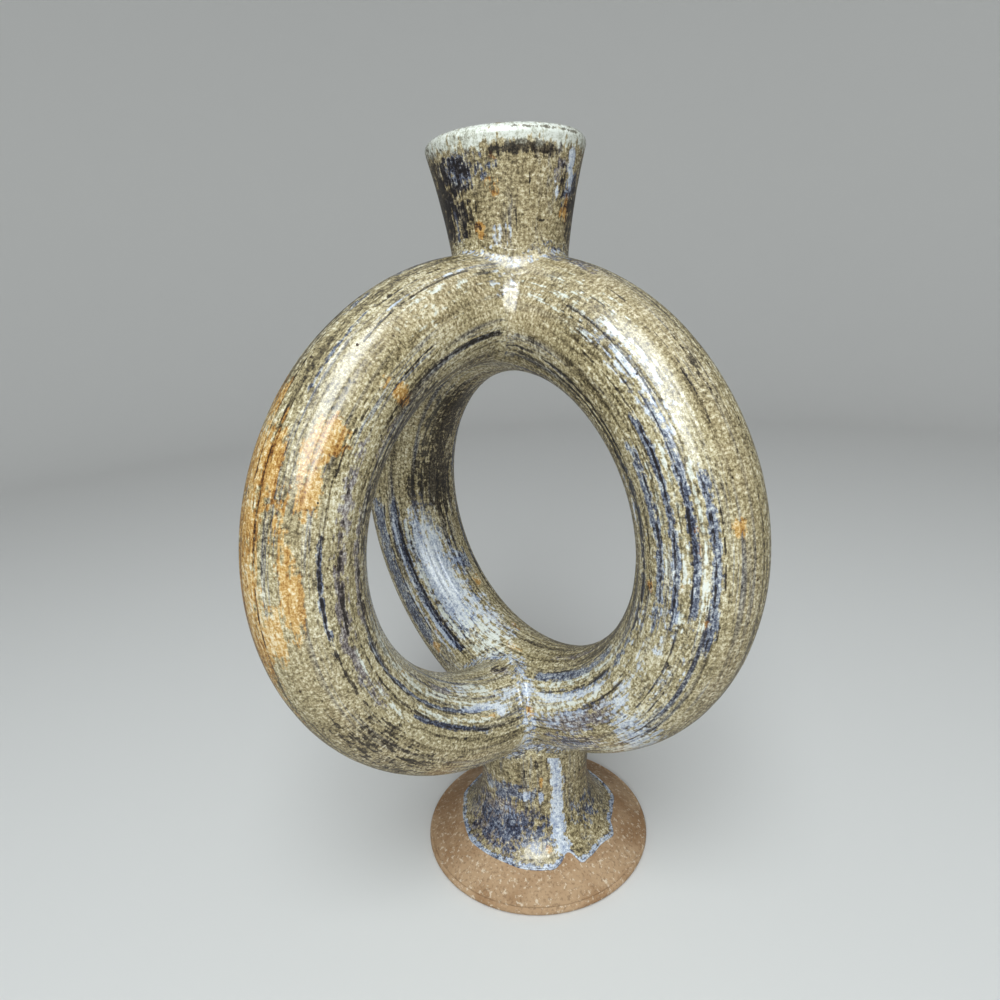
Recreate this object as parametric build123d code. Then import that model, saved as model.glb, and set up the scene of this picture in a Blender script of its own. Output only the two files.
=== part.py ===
from build123d import *
import os

# Donut vase in stoneware, in millimetres.
# A whole thrown donut stands on its edge in the XZ plane.
# A half donut stands square to it, on the -Y side, and is luted to it above and below.
# Each donut is given as two shells that meet in its mid-plane, so that its hollow is open in both.
# A flared neck sits on top and a trumpet foot below, both on the Z axis.
# The origin is the centre of the foot's resting ring, and +Z points up to the mouth.

# Whole donut
ring_radius = 80.5
ring_tube_radius = 21.5
ring_wall = 5.0
ring_shift = 2.8
ring_clearance_below = 57.0
throat_radius = 13.0

# Half donut, which is fitted to the whole one: how much wider its ring is, how much slimmer its tube is,
# how far its ring's centre lies inside the whole donut's front skin, and where its straight ends stop
half_rise = 2.2
half_slimming = 1.9
half_tuck = 4.7
half_end_setback = 7.2
half_wall = 5.0
half_passage_radius = 12.0

# Neck and its rolled lip
neck_height = 39.0
neck_overhang = 0.5
neck_wall = 5.0
neck_bow = 0.6
mouth_radius = 29.2
lip_roll_radius = 3.4
neck_skirt_lift = 3.5
neck_skirt_inset = 1.5

# Trumpet foot and its flange
foot_radius = 51.8
foot_wall = 5.0
foot_edge_height = 4.2
foot_edge_radius = 2.0
flange_inner_radius = 34.0
flange_height = 13.0
stem_base_radius = 25.0
stem_base_height = 42.0
stem_bow = 3.0
stem_overhang = 3.0
stem_skirt_drop = 6.5
stem_skirt_inset = 3.5
rest_ring_width = 8.0

# Directions of the foot's wall, as shares of its thickness, at the flange's start and in the bend
flange_wall_shares = (0.5, 0.86)
bend_wall_shares = (0.8, 0.6)

# Clay coils pressed into the joints
neck_coil_rise = 4.0
neck_coil_depth = 10.0
neck_coil_width = 2.0
foot_coil_drop = 4.0
foot_coil_depth = 8.0
foot_coil_width = 1.5
seam_coil_size = 2.2

# Places that follow from the sizes above
ring_centre_height = ring_clearance_below + ring_radius + ring_tube_radius
ring_top = ring_centre_height + ring_radius + ring_tube_radius
total_height = ring_top + neck_height
half_radius = ring_radius + half_rise
half_tube_radius = ring_tube_radius - half_slimming
half_setback = ring_tube_radius - half_tuck
half_straight_end = half_setback - half_end_setback
lip_height = total_height - lip_roll_radius
lip_middle_radius = mouth_radius - lip_roll_radius
neck_base_radius = ring_tube_radius + neck_overhang
neck_bore_radius = neck_base_radius - neck_wall
skirt_bottom = ring_top - ring_tube_radius + neck_skirt_lift
stem_top_radius = ring_tube_radius + stem_overhang
foot_top = ring_clearance_below + ring_tube_radius - stem_skirt_drop
stem_bore_radius = stem_top_radius - foot_wall
from_base = (Align.CENTER, Align.CENTER, Align.MIN)
from_plane = (Align.CENTER, Align.MIN, Align.CENTER)

# The whole donut's mid-plane is the XZ plane, and the half donut's is square to it
ring_plane = Rot(0, 0, 0)
half_plane = Rot(0, 0, -90)


def end_height(upper):
    """The height at which the half donut's upper or lower end meets the whole donut."""
    return ring_centre_height + half_radius if upper else ring_centre_height - half_radius


def ring_tube(radius, upper):
    """The upper or lower half of the whole donut, as a solid tube of the given radius."""
    turn = 0 if upper else 180
    upright = Pos(ring_shift, 0, ring_centre_height) * Rot(90, 0, turn)
    return upright * Torus(ring_radius, radius, major_angle=180, align=None)


def half_tube(radius, reach, upper):
    """The upper or lower half of the half donut, as a solid tube that bends and then runs straight back."""
    turn = 270 if upper else 180
    centre = Pos(0, -half_setback, ring_centre_height) * Rot(0, -90, 0) * Rot(0, 0, turn)
    bend = centre * Torus(half_radius, radius, major_angle=90, align=None)
    start = Pos(0, -half_setback, end_height(upper)) * Rot(-90, 0, 0)
    return bend + start * Cylinder(radius, reach, align=from_base)


def turned(lines):
    """A solid of revolution about Z from a closed outline of radii and heights."""
    return revolve(Plane.XZ * make_face(Wire(lines)), Axis.Z)


def filled(lines):
    """The solid inside an outer outline that runs upwards from its first point to its last."""
    low = lines[0] @ 0
    high = lines[-1] @ 1
    axis = [Line(high, (0, high.Y)), Line((0, high.Y), (0, low.Y)), Line((0, low.Y), low)]
    return turned([*lines, *axis])


def beside(plane_rotation, far):
    """The space on the far or the near side of the upright plane that one donut's tube lies along."""
    turn = 0 if far else 180
    half_space = Box(total_height, total_height, 2 * total_height, align=from_plane)
    return plane_rotation * Rot(0, 0, turn) * half_space


def ring_half(upper):
    """Half of the whole donut's hollow tube, with a passage to the half donut and the throat's hole above."""
    tube = ring_tube(ring_tube_radius, upper) - ring_tube(ring_tube_radius - ring_wall, upper)
    passage_start = Pos(0, 0, end_height(upper)) * Rot(90, 0, 0)
    tube = tube - passage_start * Cylinder(half_passage_radius, 2 * ring_tube_radius, align=from_base)
    if upper:
        throat_start = Pos(0, 0, ring_centre_height + ring_radius)
        tube = tube - throat_start * Cylinder(throat_radius, 2 * ring_tube_radius, align=from_base)
    return tube


def half_ring_half(upper):
    """Half of the half donut's hollow tube, its end cut to the whole donut's side, clear of the throat."""
    outside = half_tube(half_tube_radius, half_straight_end, upper)
    bore = half_tube(half_tube_radius - half_wall, half_setback, upper)
    tube = outside - bore - ring_tube(ring_tube_radius, upper)
    if upper:
        throat_start = Pos(0, 0, ring_centre_height + ring_radius)
        tube = tube - throat_start * Cylinder(neck_bore_radius, neck_height, align=from_base)
    return tube


def shell(half, plane_rotation, far):
    """One long side of a donut's hollow tube, open along the donut's mid-plane like a gutter."""
    space = beside(plane_rotation, far)
    return (half(True) & space) + (half(False) & space)


def neck_outer_lines():
    """The neck's outside: the skirt that wraps the donut's crest, the flare, and the lip's outer quarter."""
    waist = (neck_base_radius, ring_top)
    flare_end = (mouth_radius, lip_height)
    flare_middle = ((neck_base_radius + mouth_radius) / 2 - neck_bow, (ring_top + lip_height) / 2)
    return [
        Line((neck_base_radius - neck_skirt_inset, skirt_bottom), waist),
        ThreePointArc(waist, flare_middle, flare_end),
        CenterArc((lip_middle_radius, lip_height), lip_roll_radius, 0, 90),
    ]


def neck_inner_lines():
    """The neck's inside, from the lip's crest down to the bottom of the skirt."""
    lip_inner_radius = lip_middle_radius - lip_roll_radius
    bore_top = (neck_bore_radius, ring_top)
    flare_middle = ((neck_bore_radius + lip_inner_radius) / 2 - neck_bow, (ring_top + lip_height) / 2)
    return [
        CenterArc((lip_middle_radius, lip_height), lip_roll_radius, 90, 90),
        ThreePointArc((lip_inner_radius, lip_height), flare_middle, bore_top),
        Line(bore_top, (neck_bore_radius, skirt_bottom)),
        Line((neck_bore_radius, skirt_bottom), (neck_base_radius - neck_skirt_inset, skirt_bottom)),
    ]


def foot_outer_lines():
    """The foot's outside, from the edge of its resting ring up the flange and stem to the thinned skirt."""
    edge_radius = foot_radius - foot_edge_radius
    edge_top = (edge_radius, foot_edge_height)
    flange_start = (flange_inner_radius, flange_height)
    stem_base = (stem_base_radius, stem_base_height)
    stem_top = (stem_top_radius, ring_clearance_below)
    bend_radius = (stem_base_radius + flange_inner_radius) / 2 - stem_bow
    bend_height = (stem_base_height + flange_height) / 2 - stem_bow
    return [
        ThreePointArc((edge_radius, 0), (foot_radius, foot_edge_height / 2), edge_top),
        Line(edge_top, flange_start),
        ThreePointArc(flange_start, (bend_radius, bend_height), stem_base),
        Line(stem_base, stem_top),
        Line(stem_top, (stem_top_radius - stem_skirt_inset, foot_top)),
    ]


def foot_inner_lines():
    """The foot's inside, from the top of the skirt down to the resting ring."""
    edge_radius = foot_radius - foot_edge_radius
    rest_inner = (edge_radius - rest_ring_width, 0)
    bore_base = (stem_base_radius - foot_wall, stem_base_height)
    flange_radius = flange_inner_radius - foot_wall * flange_wall_shares[0]
    flange_under = (flange_radius, flange_height - foot_wall * flange_wall_shares[1])
    bend_radius = (stem_base_radius + flange_inner_radius) / 2 - stem_bow - foot_wall * bend_wall_shares[0]
    bend_height = (stem_base_height + flange_height) / 2 - stem_bow - foot_wall * bend_wall_shares[1]
    return [
        Line((stem_top_radius - stem_skirt_inset, foot_top), (stem_bore_radius, foot_top)),
        Line((stem_bore_radius, foot_top), (stem_bore_radius, ring_clearance_below)),
        Line((stem_bore_radius, ring_clearance_below), bore_base),
        ThreePointArc(bore_base, (bend_radius, bend_height), flange_under),
        Line(flange_under, rest_inner),
        Line(rest_inner, (edge_radius, 0)),
    ]


def neck_collar():
    """The smoothed outside of the neck joint's coil, as a filled barrel that closes on the donut's side."""
    low = (neck_base_radius - neck_skirt_inset, skirt_bottom)
    widest = (neck_base_radius + neck_coil_width, ring_top - neck_coil_depth)
    return filled([ThreePointArc(low, widest, (neck_base_radius, ring_top + neck_coil_rise))])


def foot_collar():
    """The smoothed outside of the foot joint's coil, as a filled barrel that closes on the donut's side."""
    low = (stem_top_radius, ring_clearance_below - foot_coil_drop)
    widest = (stem_top_radius + foot_coil_width, ring_clearance_below + foot_coil_depth)
    return filled([ThreePointArc(low, widest, (stem_top_radius - stem_skirt_inset, foot_top))])


def without_donuts(shape, upper):
    """What is left of a shape outside both donuts, so that it seats on their skins."""
    shape = shape - ring_tube(ring_tube_radius, upper)
    return shape - half_tube(half_tube_radius, half_straight_end, upper)


def seam_coil(upper):
    """A clay bead in the crease between the two donuts, which runs down both sides and under the arch."""
    near_ring = ring_tube(ring_tube_radius + seam_coil_size, upper)
    near_half = half_tube(half_tube_radius + seam_coil_size, half_straight_end, upper)
    bead = without_donuts(near_ring & near_half, upper)
    if upper:
        return bead - filled(neck_outer_lines()) - neck_collar()
    return bead - filled(foot_outer_lines()) - foot_collar()


def main():
    neck = turned(neck_outer_lines() + neck_inner_lines())
    foot = turned(foot_outer_lines() + foot_inner_lines())
    nodes = {
        "ring_front": shell(ring_half, ring_plane, False),
        "ring_back": shell(ring_half, ring_plane, True),
        "half_ring_right": shell(half_ring_half, half_plane, True),
        "half_ring_left": shell(half_ring_half, half_plane, False),
        "neck": without_donuts(neck, True),
        "foot": without_donuts(foot, False),
        "neck_coil": without_donuts(neck_collar() - filled(neck_outer_lines()), True),
        "foot_coil": without_donuts(foot_collar() - filled(foot_outer_lines()), False),
        "upper_seam_coil": seam_coil(True),
        "lower_seam_coil": seam_coil(False),
    }
    os.makedirs("parts", exist_ok=True)
    for name, shape in nodes.items():
        print(name, "solids", len(shape.solids()), "volume", round(shape.volume, 1), "valid", shape.is_valid)
        export_step(shape, f"parts/{name}.step")


main()
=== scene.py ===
# %% [markdown]
# # A donut vase in stoneware
#
# The real vase is thrown on a wheel in four parts: a whole donut, half of a second donut, a flared neck
# and a trumpet foot. The parts are luted together with clay coils, glazed with wood-ash glaze and fired.
# The solids arrive as a fixed frame in metres, and everything below is fitted to them. First the frame is
# loaded, and a helper reads the box of each of its nodes. The finished vase may not be larger.

# %% Load the frame, and read its boxes
import math

import bmesh
import bpy
import numpy as np
from mathutils import Matrix, Vector


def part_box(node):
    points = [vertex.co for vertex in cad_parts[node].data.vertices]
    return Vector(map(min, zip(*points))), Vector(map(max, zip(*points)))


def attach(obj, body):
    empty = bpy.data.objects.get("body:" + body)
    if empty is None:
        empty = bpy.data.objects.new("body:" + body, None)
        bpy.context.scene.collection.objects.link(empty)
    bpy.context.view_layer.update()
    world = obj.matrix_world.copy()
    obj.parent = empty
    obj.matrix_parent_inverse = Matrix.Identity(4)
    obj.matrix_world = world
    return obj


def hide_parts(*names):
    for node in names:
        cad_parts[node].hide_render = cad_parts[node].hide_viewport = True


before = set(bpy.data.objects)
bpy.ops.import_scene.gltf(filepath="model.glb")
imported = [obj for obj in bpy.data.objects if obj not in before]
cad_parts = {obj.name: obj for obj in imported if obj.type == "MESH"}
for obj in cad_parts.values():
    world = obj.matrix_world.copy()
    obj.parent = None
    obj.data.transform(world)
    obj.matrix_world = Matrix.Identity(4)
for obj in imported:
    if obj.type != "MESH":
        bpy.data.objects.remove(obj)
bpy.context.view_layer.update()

MM = 0.001
scene = bpy.context.scene
scene.view_settings.view_transform = "Standard"
print("frame nodes:", sorted(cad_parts))

# %% [markdown]
# ## Camera
#
# A camera can be placed by eye, or worked out from the outlines of the thing it looks at. Here the second
# way was used: the place, the two tilts and the lens below put the tubes, the lip and the flange where
# the picture has them.

# %% Camera
camera_place = Vector((0.1910, -0.1893, 0.2437))
camera_heading = Vector((-0.7337, 0.6794, 0.0))
camera_dip = 0.2846
camera_roll = -0.057
camera_lens = 24.16

forward = camera_heading * math.cos(camera_dip) - Vector((0, 0, 1)) * math.sin(camera_dip)
level = Vector((camera_heading.y, -camera_heading.x, 0))
upward = level.cross(forward)
right = level * math.cos(camera_roll) + upward * math.sin(camera_roll)
upward = upward * math.cos(camera_roll) - level * math.sin(camera_roll)

camera = bpy.data.objects.new("camera", bpy.data.cameras.new("camera"))
scene.collection.objects.link(camera)
camera.data.sensor_width = 36
camera.data.lens = camera_lens
camera.data.clip_start = 0.01
turn = Matrix((right, upward, -forward)).transposed()
camera.matrix_world = Matrix.Translation(camera_place) @ turn.to_4x4()
scene.camera = camera
print("camera at", [round(v, 3) for v in camera_place], "lens", camera_lens)

# %% [markdown]
# ## A short way to write node trees
#
# Both the shapes and the finishes below are node trees. Writing each link by hand is long and hard to
# read, so a small helper adds a node and fills its inputs in one line: an input gets either a plain value
# or another node's output.

# %% The tree writer
SOCKETS = {
    "Float": "NodeSocketFloat", "Int": "NodeSocketInt", "Vector": "NodeSocketVector",
    "Color": "NodeSocketColor", "Geometry": "NodeSocketGeometry", "Material": "NodeSocketMaterial",
}


class Writer:
    """Adds nodes to one tree and joins them."""

    def __init__(self, tree):
        self.tree = tree

    def put(self, socket, value):
        """Joins an output to the socket, or sets the socket's own value."""
        if isinstance(value, bpy.types.NodeSocket):
            self.tree.links.new(value, socket)
        elif value is not None:
            socket.default_value = value

    def add(self, kind, inputs=None, **settings):
        """A new node with its settings and inputs filled in."""
        node = self.tree.nodes.new(kind)
        for name, value in settings.items():
            setattr(node, name, value)
        for name, value in (inputs or {}).items():
            self.put(node.inputs[name], value)
        return node

    def math(self, operation, *values):
        """One sum, and its result."""
        node = self.add("ShaderNodeMath", operation=operation)
        for socket, value in zip(node.inputs, values):
            self.put(socket, value)
        return node.outputs[0]

    def vector(self, operation, *values, scale=None):
        """One sum with vectors, and its result."""
        node = self.add("ShaderNodeVectorMath", operation=operation)
        for socket, value in zip(node.inputs, values):
            self.put(socket, value)
        if scale is not None:
            self.put(node.inputs["Scale"], scale)
        return node.outputs["Vector"]

    def parts(self, vector):
        """The three numbers of a vector."""
        return self.add("ShaderNodeSeparateXYZ", {"Vector": vector}).outputs

    def join(self, x=0.0, y=0.0, z=0.0):
        """A vector from three numbers."""
        return self.add("ShaderNodeCombineXYZ", {"X": x, "Y": y, "Z": z}).outputs["Vector"]

    def step(self, value, low, high, first=0.0, last=1.0):
        """A soft step from first to last while the value goes from low to high."""
        inputs = {"Value": value, "From Min": low, "From Max": high, "To Min": first, "To Max": last}
        return self.add("ShaderNodeMapRange", inputs, interpolation_type="SMOOTHSTEP").outputs["Result"]


def new_tree(name, kind, inputs, outputs):
    """An empty node group with named inputs and outputs, its writer, and its inputs by name."""
    tree = bpy.data.node_groups.new(name, kind)
    for label, socket in inputs:
        tree.interface.new_socket(name=label, in_out="INPUT", socket_type=SOCKETS[socket])
    for label, socket in outputs:
        tree.interface.new_socket(name=label, in_out="OUTPUT", socket_type=SOCKETS[socket])
    writer = Writer(tree)
    given = writer.add("NodeGroupInput").outputs
    result = writer.add("NodeGroupOutput").inputs
    return tree, writer, given, result


def grow(piece, tree, **values):
    """Runs a geometry tree on a piece, and gives the piece the plain mesh that comes out."""
    modifier = piece.modifiers.new(tree.name, "NODES")
    modifier.node_group = tree
    for item in tree.interface.items_tree:
        if item.in_out == "INPUT" and item.name in values:
            modifier[item.identifier] = values[item.name]
    bake(piece)


def bake(piece):
    """Makes what the modifiers show the piece's own mesh, and takes the modifiers off."""
    depsgraph = bpy.context.evaluated_depsgraph_get()
    mesh = bpy.data.meshes.new_from_object(piece.evaluated_get(depsgraph), depsgraph=depsgraph)
    piece.modifiers.clear()
    old = piece.data
    piece.data = mesh
    if old.users == 0:
        bpy.data.meshes.remove(old)


def new_piece(name, points=(), faces=()):
    """A mesh object at the origin, in the scene."""
    mesh = bpy.data.meshes.new(name)
    mesh.from_pydata([tuple(p) for p in points], [], [tuple(f) for f in faces])
    piece = bpy.data.objects.new(name, mesh)
    scene.collection.objects.link(piece)
    return piece


def places(mesh):
    """All points of a mesh as rows of three numbers."""
    flat = np.zeros(len(mesh.vertices) * 3)
    mesh.vertices.foreach_get("co", flat)
    return flat.reshape(-1, 3)


print("tree writer ready")

# %% [markdown]
# ## Sizes
#
# The frame's boxes give most sizes. A donut that stands on edge is as thick as its tube, and as wide as
# its ring and its tube together, so two measurements give both radii.

# %% Sizes of the four thrown parts
def joint_box(*nodes):
    """The box round several nodes."""
    boxes = [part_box(node) for node in nodes]
    low = [min(box[0][axis] for box in boxes) for axis in range(3)]
    high = [max(box[1][axis] for box in boxes) for axis in range(3)]
    return low, high


RING_NODES = ("ring_front", "ring_back")
HALF_NODES = ("half_ring_right", "half_ring_left")
ring_low, ring_high = joint_box(*RING_NODES)
half_low, half_high = joint_box(*HALF_NODES)

ring_tube = (ring_high[1] - ring_low[1]) / 2
ring_reach = (ring_high[0] - ring_low[0]) / 2 - ring_tube
ring_x = (ring_high[0] + ring_low[0]) / 2
ring_z = ring_low[2] + ring_tube + ring_reach
half_tube = (half_high[0] - half_low[0]) / 2
half_reach = (half_high[2] - half_low[2]) / 2 - half_tube
half_y = half_low[1] + half_tube + half_reach
half_tail = half_high[1] - half_y
rim_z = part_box("neck")[1].z
ring_crest = ring_z + ring_reach + ring_tube
ring_foot = ring_z - ring_reach - ring_tube
WALL = 5 * MM
print("ring radius and tube in mm:", round(ring_reach / MM, 2), round(ring_tube / MM, 2))
print("half ring radius and tube in mm:", round(half_reach / MM, 2), round(half_tube / MM, 2))
print("half ring centre y and tail in mm:", round(half_y / MM, 2), round(half_tail / MM, 2))
print("crest and foot of the ring in mm:", round(ring_crest / MM, 2), round(ring_foot / MM, 2))

# %% [markdown]
# ## Thrown tubes
#
# A donut on the wheel is a round tube that closes on itself, and a half donut is the same tube with two
# ends. Both follow one rule, so one geometry tree makes them: a flat grid is rolled up across and bent
# round a circle along its length. The cells are narrow across and long along the tube, because the marks
# of the fingers run along.

# %% The thrown tube tree
tube_inputs = [
    ("Centre", "Vector"), ("Out", "Vector"), ("Up", "Vector"), ("Side", "Vector"), ("Ring Radius", "Float"),
    ("Tube Radius", "Float"), ("Start", "Float"), ("Sweep", "Float"), ("Tail", "Float"),
    ("Cells Along", "Int"), ("Cells Around", "Int"), ("Material", "Material"),
]
tube_tree, w, given, result = new_tree(
    "thrown tube", "GeometryNodeTree", [("Geometry", "Geometry"), *tube_inputs], [("Geometry", "Geometry")])
grid = w.add("GeometryNodeMeshGrid", {
    "Size X": 1.0, "Size Y": 1.0,
    "Vertices X": w.math("ADD", given["Cells Along"], 1.0),
    "Vertices Y": w.math("ADD", given["Cells Around"], 1.0),
})
flat = w.parts(w.add("GeometryNodeInputPosition").outputs[0])
length = w.math("MULTIPLY", given["Ring Radius"], given["Sweep"])
whole = w.math("ADD", length, w.math("MULTIPLY", given["Tail"], 2.0))
travel = w.math("SUBTRACT", w.math("MULTIPLY", w.math("ADD", flat["X"], 0.5), whole), given["Tail"])
bent = w.math("MAXIMUM", w.math("MINIMUM", travel, length), 0.0)
straight = w.math("SUBTRACT", travel, bent)
angle = w.math("ADD", given["Start"], w.math("DIVIDE", bent, given["Ring Radius"]))
roll = w.math("MULTIPLY", w.math("ADD", flat["Y"], 0.5), 2 * math.pi)
cosine, sine = w.math("COSINE", angle), w.math("SINE", angle)
radial = w.vector(
    "ADD", w.vector("SCALE", given["Out"], scale=cosine), w.vector("SCALE", given["Up"], scale=sine))
ahead = w.vector(
    "SUBTRACT", w.vector("SCALE", given["Up"], scale=cosine), w.vector("SCALE", given["Out"], scale=sine))
outward = w.math("MULTIPLY", given["Tube Radius"], w.math("COSINE", roll))
reach = w.math("ADD", given["Ring Radius"], outward)
sideways = w.math("MULTIPLY", given["Tube Radius"], w.math("SINE", roll))
place = w.vector("ADD", given["Centre"], w.vector("SCALE", radial, scale=reach))
place = w.vector("ADD", place, w.vector("SCALE", ahead, scale=straight))
place = w.vector("SUBTRACT", place, w.vector("SCALE", given["Side"], scale=sideways))
moved = w.add("GeometryNodeSetPosition", {"Geometry": grid.outputs["Mesh"], "Position": place})
closed = w.add("GeometryNodeMergeByDistance", {"Geometry": moved.outputs[0], "Distance": 0.01 * MM})
real = w.add("GeometryNodeRealizeInstances", {"Geometry": closed.outputs[0]})
coated = w.add("GeometryNodeSetMaterial", {"Geometry": real.outputs[0], "Material": given["Material"]})
w.put(result["Geometry"], coated.outputs[0])
print("thrown tube tree:", len(tube_tree.nodes), "nodes")

# %% [markdown]
# ## From the tree to a hollow donut
#
# A thrown donut closes over the air inside it, which is why it is hollow. Here a closed solid tube is
# made first, and the hollow and the openings are cut out of it with slimmer tubes and round pins. A wall
# made of two skins would also do, but a cut leaves a clean rim where an opening meets the wall.

# %% Rolling a tube out of the tree
def roll_tube(name, half, tube, cells_along, cells_around):
    """The whole or the half donut as a closed solid tube of the given tube radius."""
    piece = new_piece(name)
    centre = (0, half_y, ring_z) if half else (ring_x, 0, ring_z)
    grow(piece, tube_tree, **{
        "Centre": centre, "Out": (0, -1, 0) if half else (1, 0, 0), "Up": (0, 0, 1),
        "Side": (1, 0, 0) if half else (0, 1, 0), "Ring Radius": half_reach if half else ring_reach,
        "Tube Radius": tube, "Start": -math.pi / 2 if half else -math.pi,
        "Sweep": math.pi if half else 2 * math.pi, "Tail": half_tail if half else 0.0,
        "Cells Along": cells_along, "Cells Around": cells_around,
    })
    if half:
        cap_ends(piece)
    return piece


def cap_ends(piece):
    """Closes the open ends of a tube."""
    work = bmesh.new()
    work.from_mesh(piece.data)
    rims = [edge for edge in work.edges if edge.is_boundary]
    caps = bmesh.ops.holes_fill(work, edges=rims, sides=0)["faces"]
    bmesh.ops.triangulate(work, faces=caps)
    bmesh.ops.recalc_face_normals(work, faces=work.faces)
    work.to_mesh(piece.data)
    work.free()


def pin(name, place, axis, radius, length, sides=96):
    """A round cutter that starts at a place and runs along an axis."""
    work = bmesh.new()
    turn = Vector((0, 0, 1)).rotation_difference(Vector(axis)).to_matrix().to_4x4()
    spot = Matrix.Translation(Vector(place) + Vector(axis) * length / 2) @ turn
    bmesh.ops.create_cone(
        work, cap_ends=True, segments=sides, radius1=radius, radius2=radius, depth=length, matrix=spot)
    piece = new_piece(name)
    work.to_mesh(piece.data)
    work.free()
    return piece


def cut(piece, *cutters):
    """Takes the cutters out of a piece, and then removes them."""
    for cutter in cutters:
        modifier = piece.modifiers.new("cut", "BOOLEAN")
        modifier.operation, modifier.solver, modifier.object = "DIFFERENCE", "MANIFOLD", cutter
    bake(piece)
    for cutter in cutters:
        bpy.data.objects.remove(cutter)


print("tube, cap, pin and cut helpers ready")

# %% [markdown]
# ## The whole donut and the half donut
#
# Both are hollow, with a wall of 5 mm, and water runs from the neck through a throat into the ring and on
# through two passages into the half donut. The hollows are cut out with Boolean modifiers, with the
# Manifold solver, because it keeps the long cells of the skin as they are. The half donut's ends stop
# just under the ring's skin.

# %% The two donuts
SINK = 1.5 * MM
throat, passage, neck_room = 13 * MM, 12 * MM, 17 * MM
ring = roll_tube("ring_glazed", False, ring_tube, cells_along=310, cells_around=276)
cut(ring,
    roll_tube("bore", False, ring_tube - WALL, 120, 40),
    pin("throat", (0, 0, ring_crest - ring_tube), (0, 0, 1), throat, 2 * ring_tube),
    pin("passage_high", (0, 0, ring_z + half_reach), (0, -1, 0), passage, 2 * ring_tube),
    pin("passage_low", (0, 0, ring_z - half_reach), (0, -1, 0), passage, 2 * ring_tube))
half_ring = roll_tube("half_ring_glazed", True, half_tube, cells_along=190, cells_around=270)
cut(half_ring, roll_tube("bore", True, half_tube - WALL, 80, 40))
cut(half_ring,
    roll_tube("ring_room", False, ring_tube - SINK, 300, 120),
    pin("neck_room", (0, 0, ring_z + half_reach), (0, 0, 1), neck_room, 2 * ring_tube))
for piece in (ring, half_ring):
    print(piece.name, "faces", len(piece.data.polygons))

# %% [markdown]
# ## The turned neck and foot
#
# A pot on the wheel is one outline carried round an axis. The second tree does that: it takes a string of
# points, reads them one by one with Sample Index, and turns each round the vertical axis. The outlines
# follow the solids: a flared collar with a fat rolled lip, and a trumpet with a wide flange that is open
# below.

# %% The turned pot tree
pot_tree, w, given, result = new_tree(
    "turned pot", "GeometryNodeTree",
    [("Geometry", "Geometry"), ("Outline Points", "Int"), ("Cells Round", "Int"), ("Material", "Material")],
    [("Geometry", "Geometry")])
grid = w.add("GeometryNodeMeshGrid", {
    "Size X": 1.0, "Size Y": 1.0, "Vertices X": given["Outline Points"],
    "Vertices Y": w.math("ADD", given["Cells Round"], 1.0),
})
flat = w.parts(w.add("GeometryNodeInputPosition").outputs[0])
number = w.math("ROUND", w.math("MULTIPLY", w.math("ADD", flat["X"], 0.5), w.math(
    "SUBTRACT", given["Outline Points"], 1.0)))
sample = w.add("GeometryNodeSampleIndex", {
    "Geometry": given["Geometry"], "Index": number}, data_type="FLOAT_VECTOR", domain="POINT")
w.put(sample.inputs["Value"], w.add("GeometryNodeInputPosition").outputs[0])
outline = w.parts(sample.outputs[0])
turn_angle = w.math("MULTIPLY", w.math("ADD", flat["Y"], 0.5), -2 * math.pi)
place = w.join(
    w.math("MULTIPLY", outline["X"], w.math("COSINE", turn_angle)),
    w.math("MULTIPLY", outline["X"], w.math("SINE", turn_angle)), outline["Z"])
moved = w.add("GeometryNodeSetPosition", {"Geometry": grid.outputs["Mesh"], "Position": place})
closed = w.add("GeometryNodeMergeByDistance", {"Geometry": moved.outputs[0], "Distance": 0.01 * MM})
real = w.add("GeometryNodeRealizeInstances", {"Geometry": closed.outputs[0]})
coated = w.add("GeometryNodeSetMaterial", {"Geometry": real.outputs[0], "Material": given["Material"]})
w.put(result["Geometry"], coated.outputs[0])
print("turned pot tree:", len(pot_tree.nodes), "nodes")

# %% [markdown]
# ## The neck's outline
#
# The collar's wall is even, and its lip is rolled over into a fat round bead. The outline is made of
# lines and arcs that are walked in even steps: short ones outside, where the glaze needs a fine skin, and
# long ones inside.

# %% Outlines from lines and arcs
def line_to(points, end, cell):
    """Adds evenly spaced points up to the end of a straight line."""
    start = np.array(points[-1])
    count = max(1, round(float(np.hypot(*(np.array(end) - start))) / cell))
    points += [tuple(start + (np.array(end) - start) * i / count) for i in range(1, count + 1)]


def arc_to(points, middle, end, cell):
    """Adds evenly spaced points along the arc through the last point, a middle point and an end."""
    start, middle, end = (np.array(p, float) for p in (points[-1], middle, end))
    grid = np.array([middle - start, end - start]) * 2
    square = np.array([middle @ middle - start @ start, end @ end - start @ start])
    centre = np.linalg.solve(grid, square)
    radius = float(np.hypot(*(start - centre)))
    angles = [math.atan2(p[1] - centre[1], p[0] - centre[0]) for p in (start, middle, end)]
    sweep = (angles[2] - angles[0]) % (2 * math.pi)
    if (angles[1] - angles[0]) % (2 * math.pi) > sweep:
        sweep -= 2 * math.pi
    count = max(2, round(abs(sweep) * radius / cell))
    for i in range(1, count + 1):
        angle = angles[0] + sweep * i / count
        points.append((centre[0] + radius * math.cos(angle), centre[1] + radius * math.sin(angle)))


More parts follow.
